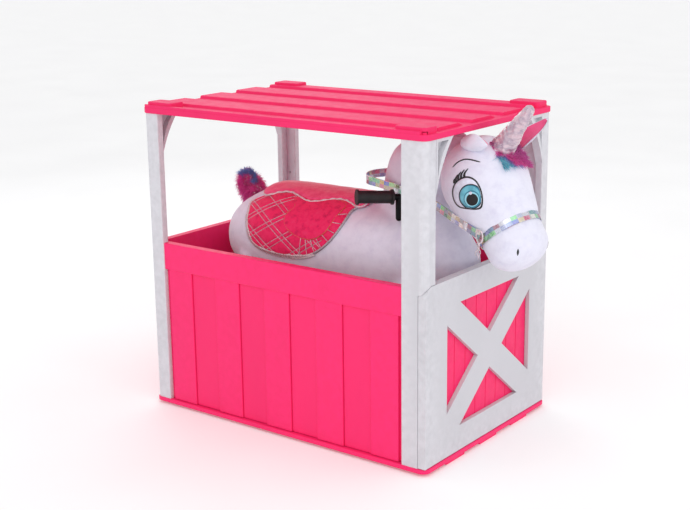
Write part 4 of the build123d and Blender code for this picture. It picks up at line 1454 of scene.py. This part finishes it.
REIN_ROUTE = [                    # from the right ring round the back of the neck to the left one
    (0.430, -0.117, 0.634), (0.340, -0.0885, 0.660), (0.250, -0.087, 0.682), (0.180, -0.085, 0.691),
    (0.118, -0.062, 0.693), (0.090, 0.0, 0.694), (0.118, 0.062, 0.693), (0.180, 0.085, 0.691),
    (0.250, 0.090, 0.683), (0.350, 0.0945, 0.664), (0.450, 0.078, 0.638),
]
RIBBONS = [(-0.5, 0.036), (-0.1, 0.044), (0.3, 0.034)]     # lean and length


def build_reins():
    """One strap from ring to ring behind the neck, with a ring and small ribbons at each end."""
    route = [Vector(point) for point in REIN_ROUTE]
    path = smooth_path([rein_ring_place(-1)] + route + [rein_ring_place(1)], 12)
    rows = []
    for i, point in enumerate(path):
        along = (path[min(len(path) - 1, i + 1)] - path[max(0, i - 1)]).normalized()
        away = along.cross(UP).normalized()
        wide = away.cross(along).normalized()
        rows.append((point + away * (0.0009 * wobble(point, 70, 2)), wide, away))
    strap = band_piece("rein_strap", rows, 0.0115)
    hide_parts("reins")

    parts = []
    for side in (-1, 1):
        centre = rein_ring_place(side) - UP * 0.004
        ring = [centre + FORWARD * (0.011 * math.cos(a)) + UP * (0.016 * math.sin(a)) for a in turns(40)]
        parts.append(tube_mesh(ring, 0.0022, 10, closed=True))
        for lean, length in RIBBONS:
            tail = []
            for k in range(16):
                t = k / 15
                sway = FORWARD * (lean * 0.02 * t + 0.003 * math.sin(t * 9 + lean * 5))
                tail.append(centre - UP * (0.014 + length * t) + sway + LEFTWARD * (side * 0.003))
            parts.append(tube_mesh(tail, lambda t: 0.0020 * (1 - 0.6 * t), 8))
    rings = make_piece("rein_rings", *merged(parts), silver_lame)


# ---- stage -----------------------------------------------------------------------------
CAMERA_PLACE = (2.1139, -2.8035, 1.3448)
CAMERA_ANGLES = (37.107, -14.296, -0.723)     # yaw, pitch and roll in degrees
CAMERA_LENS = 66.186


def build_camera():
    """The viewpoint: from the right, ahead and above."""
    yaw, pitch, roll = (math.radians(v) for v in CAMERA_ANGLES)
    level = math.cos(pitch)
    ahead = Vector((-math.sin(yaw) * level, math.cos(yaw) * level, math.sin(pitch)))
    right = Vector((math.cos(yaw), math.sin(yaw), 0))
    upward = right.cross(ahead)
    side = right * math.cos(roll) + upward * math.sin(roll)
    top = upward * math.cos(roll) - right * math.sin(roll)
    data = bpy.data.cameras.new("camera")
    data.sensor_width = 36
    data.lens = CAMERA_LENS
    data.clip_end = 40
    camera = bpy.data.objects.new("camera", data)
    bpy.context.scene.collection.objects.link(camera)
    turn = Matrix((side, top, -ahead)).transposed().to_4x4()
    camera.matrix_world = Matrix.Translation(Vector(CAMERA_PLACE)) @ turn
    bpy.context.scene.camera = camera


def area_light(name, place, target, size, power):
    data = bpy.data.lights.new(name, "AREA")
    data.size = size
    data.energy = power
    light = bpy.data.objects.new(name, data)
    bpy.context.scene.collection.objects.link(light)
    turn = (Vector(target) - Vector(place)).to_track_quat("-Z", "Y").to_matrix().to_4x4()
    light.matrix_world = Matrix.Translation(Vector(place)) @ turn


def build_stage():
    """A pale paper floor, an even white surround and three soft lights."""
    s = Surface("floor_paper")
    tone = s.ramp(s.noise(2, 2), [(0.3, (240, 240, 241)), (0.7, (244, 244, 245))])
    s.set(Base_Color=tone, Roughness=0.9, Specular_IOR_Level=0.1)
    s.set(Emission_Strength=0.14, Emission_Color=linear((255, 255, 255)))
    half = FLOOR_SIZE / 2
    mesh = bpy.data.meshes.new("floor")
    corners = [(-half, -half, 0), (half, -half, 0), (half, half, 0), (-half, half, 0)]
    mesh.from_pydata(corners, [], [(0, 1, 2, 3)])
    floor = bpy.data.objects.new("floor", mesh)
    floor.location.z = -0.0002
    bpy.context.scene.collection.objects.link(floor)
    mesh.materials.append(s.material)
    world = bpy.data.worlds.new("studio")
    world.use_nodes = True
    background = world.node_tree.nodes["Background"]
    background.inputs["Color"].default_value = (1.0, 1.0, 1.0, 1)
    background.inputs["Strength"].default_value = 0.88
    bpy.context.scene.world = world
    area_light("key", (1.6, -2.6, 2.6), (0, 0, 0.4), 2.2, 22)
    area_light("front_fill", (3.0, -0.4, 1.4), (0, 0, 0.5), 2.0, 8)
    area_light("back_rim", (-2.2, 1.8, 2.4), (0, 0, 0.5), 2.0, 12)
    bpy.context.scene.view_settings.view_transform = "Standard"
    bpy.context.scene.view_settings.look = "None"


build_camera()
build_stage()
finish_cad_nodes()
build_body()
build_hooves()
build_face(build_head())
build_ears()
build_horn()
build_tail()
build_forelock()
build_mane()
build_seat()
build_flaps()
build_noseband()
build_reins()
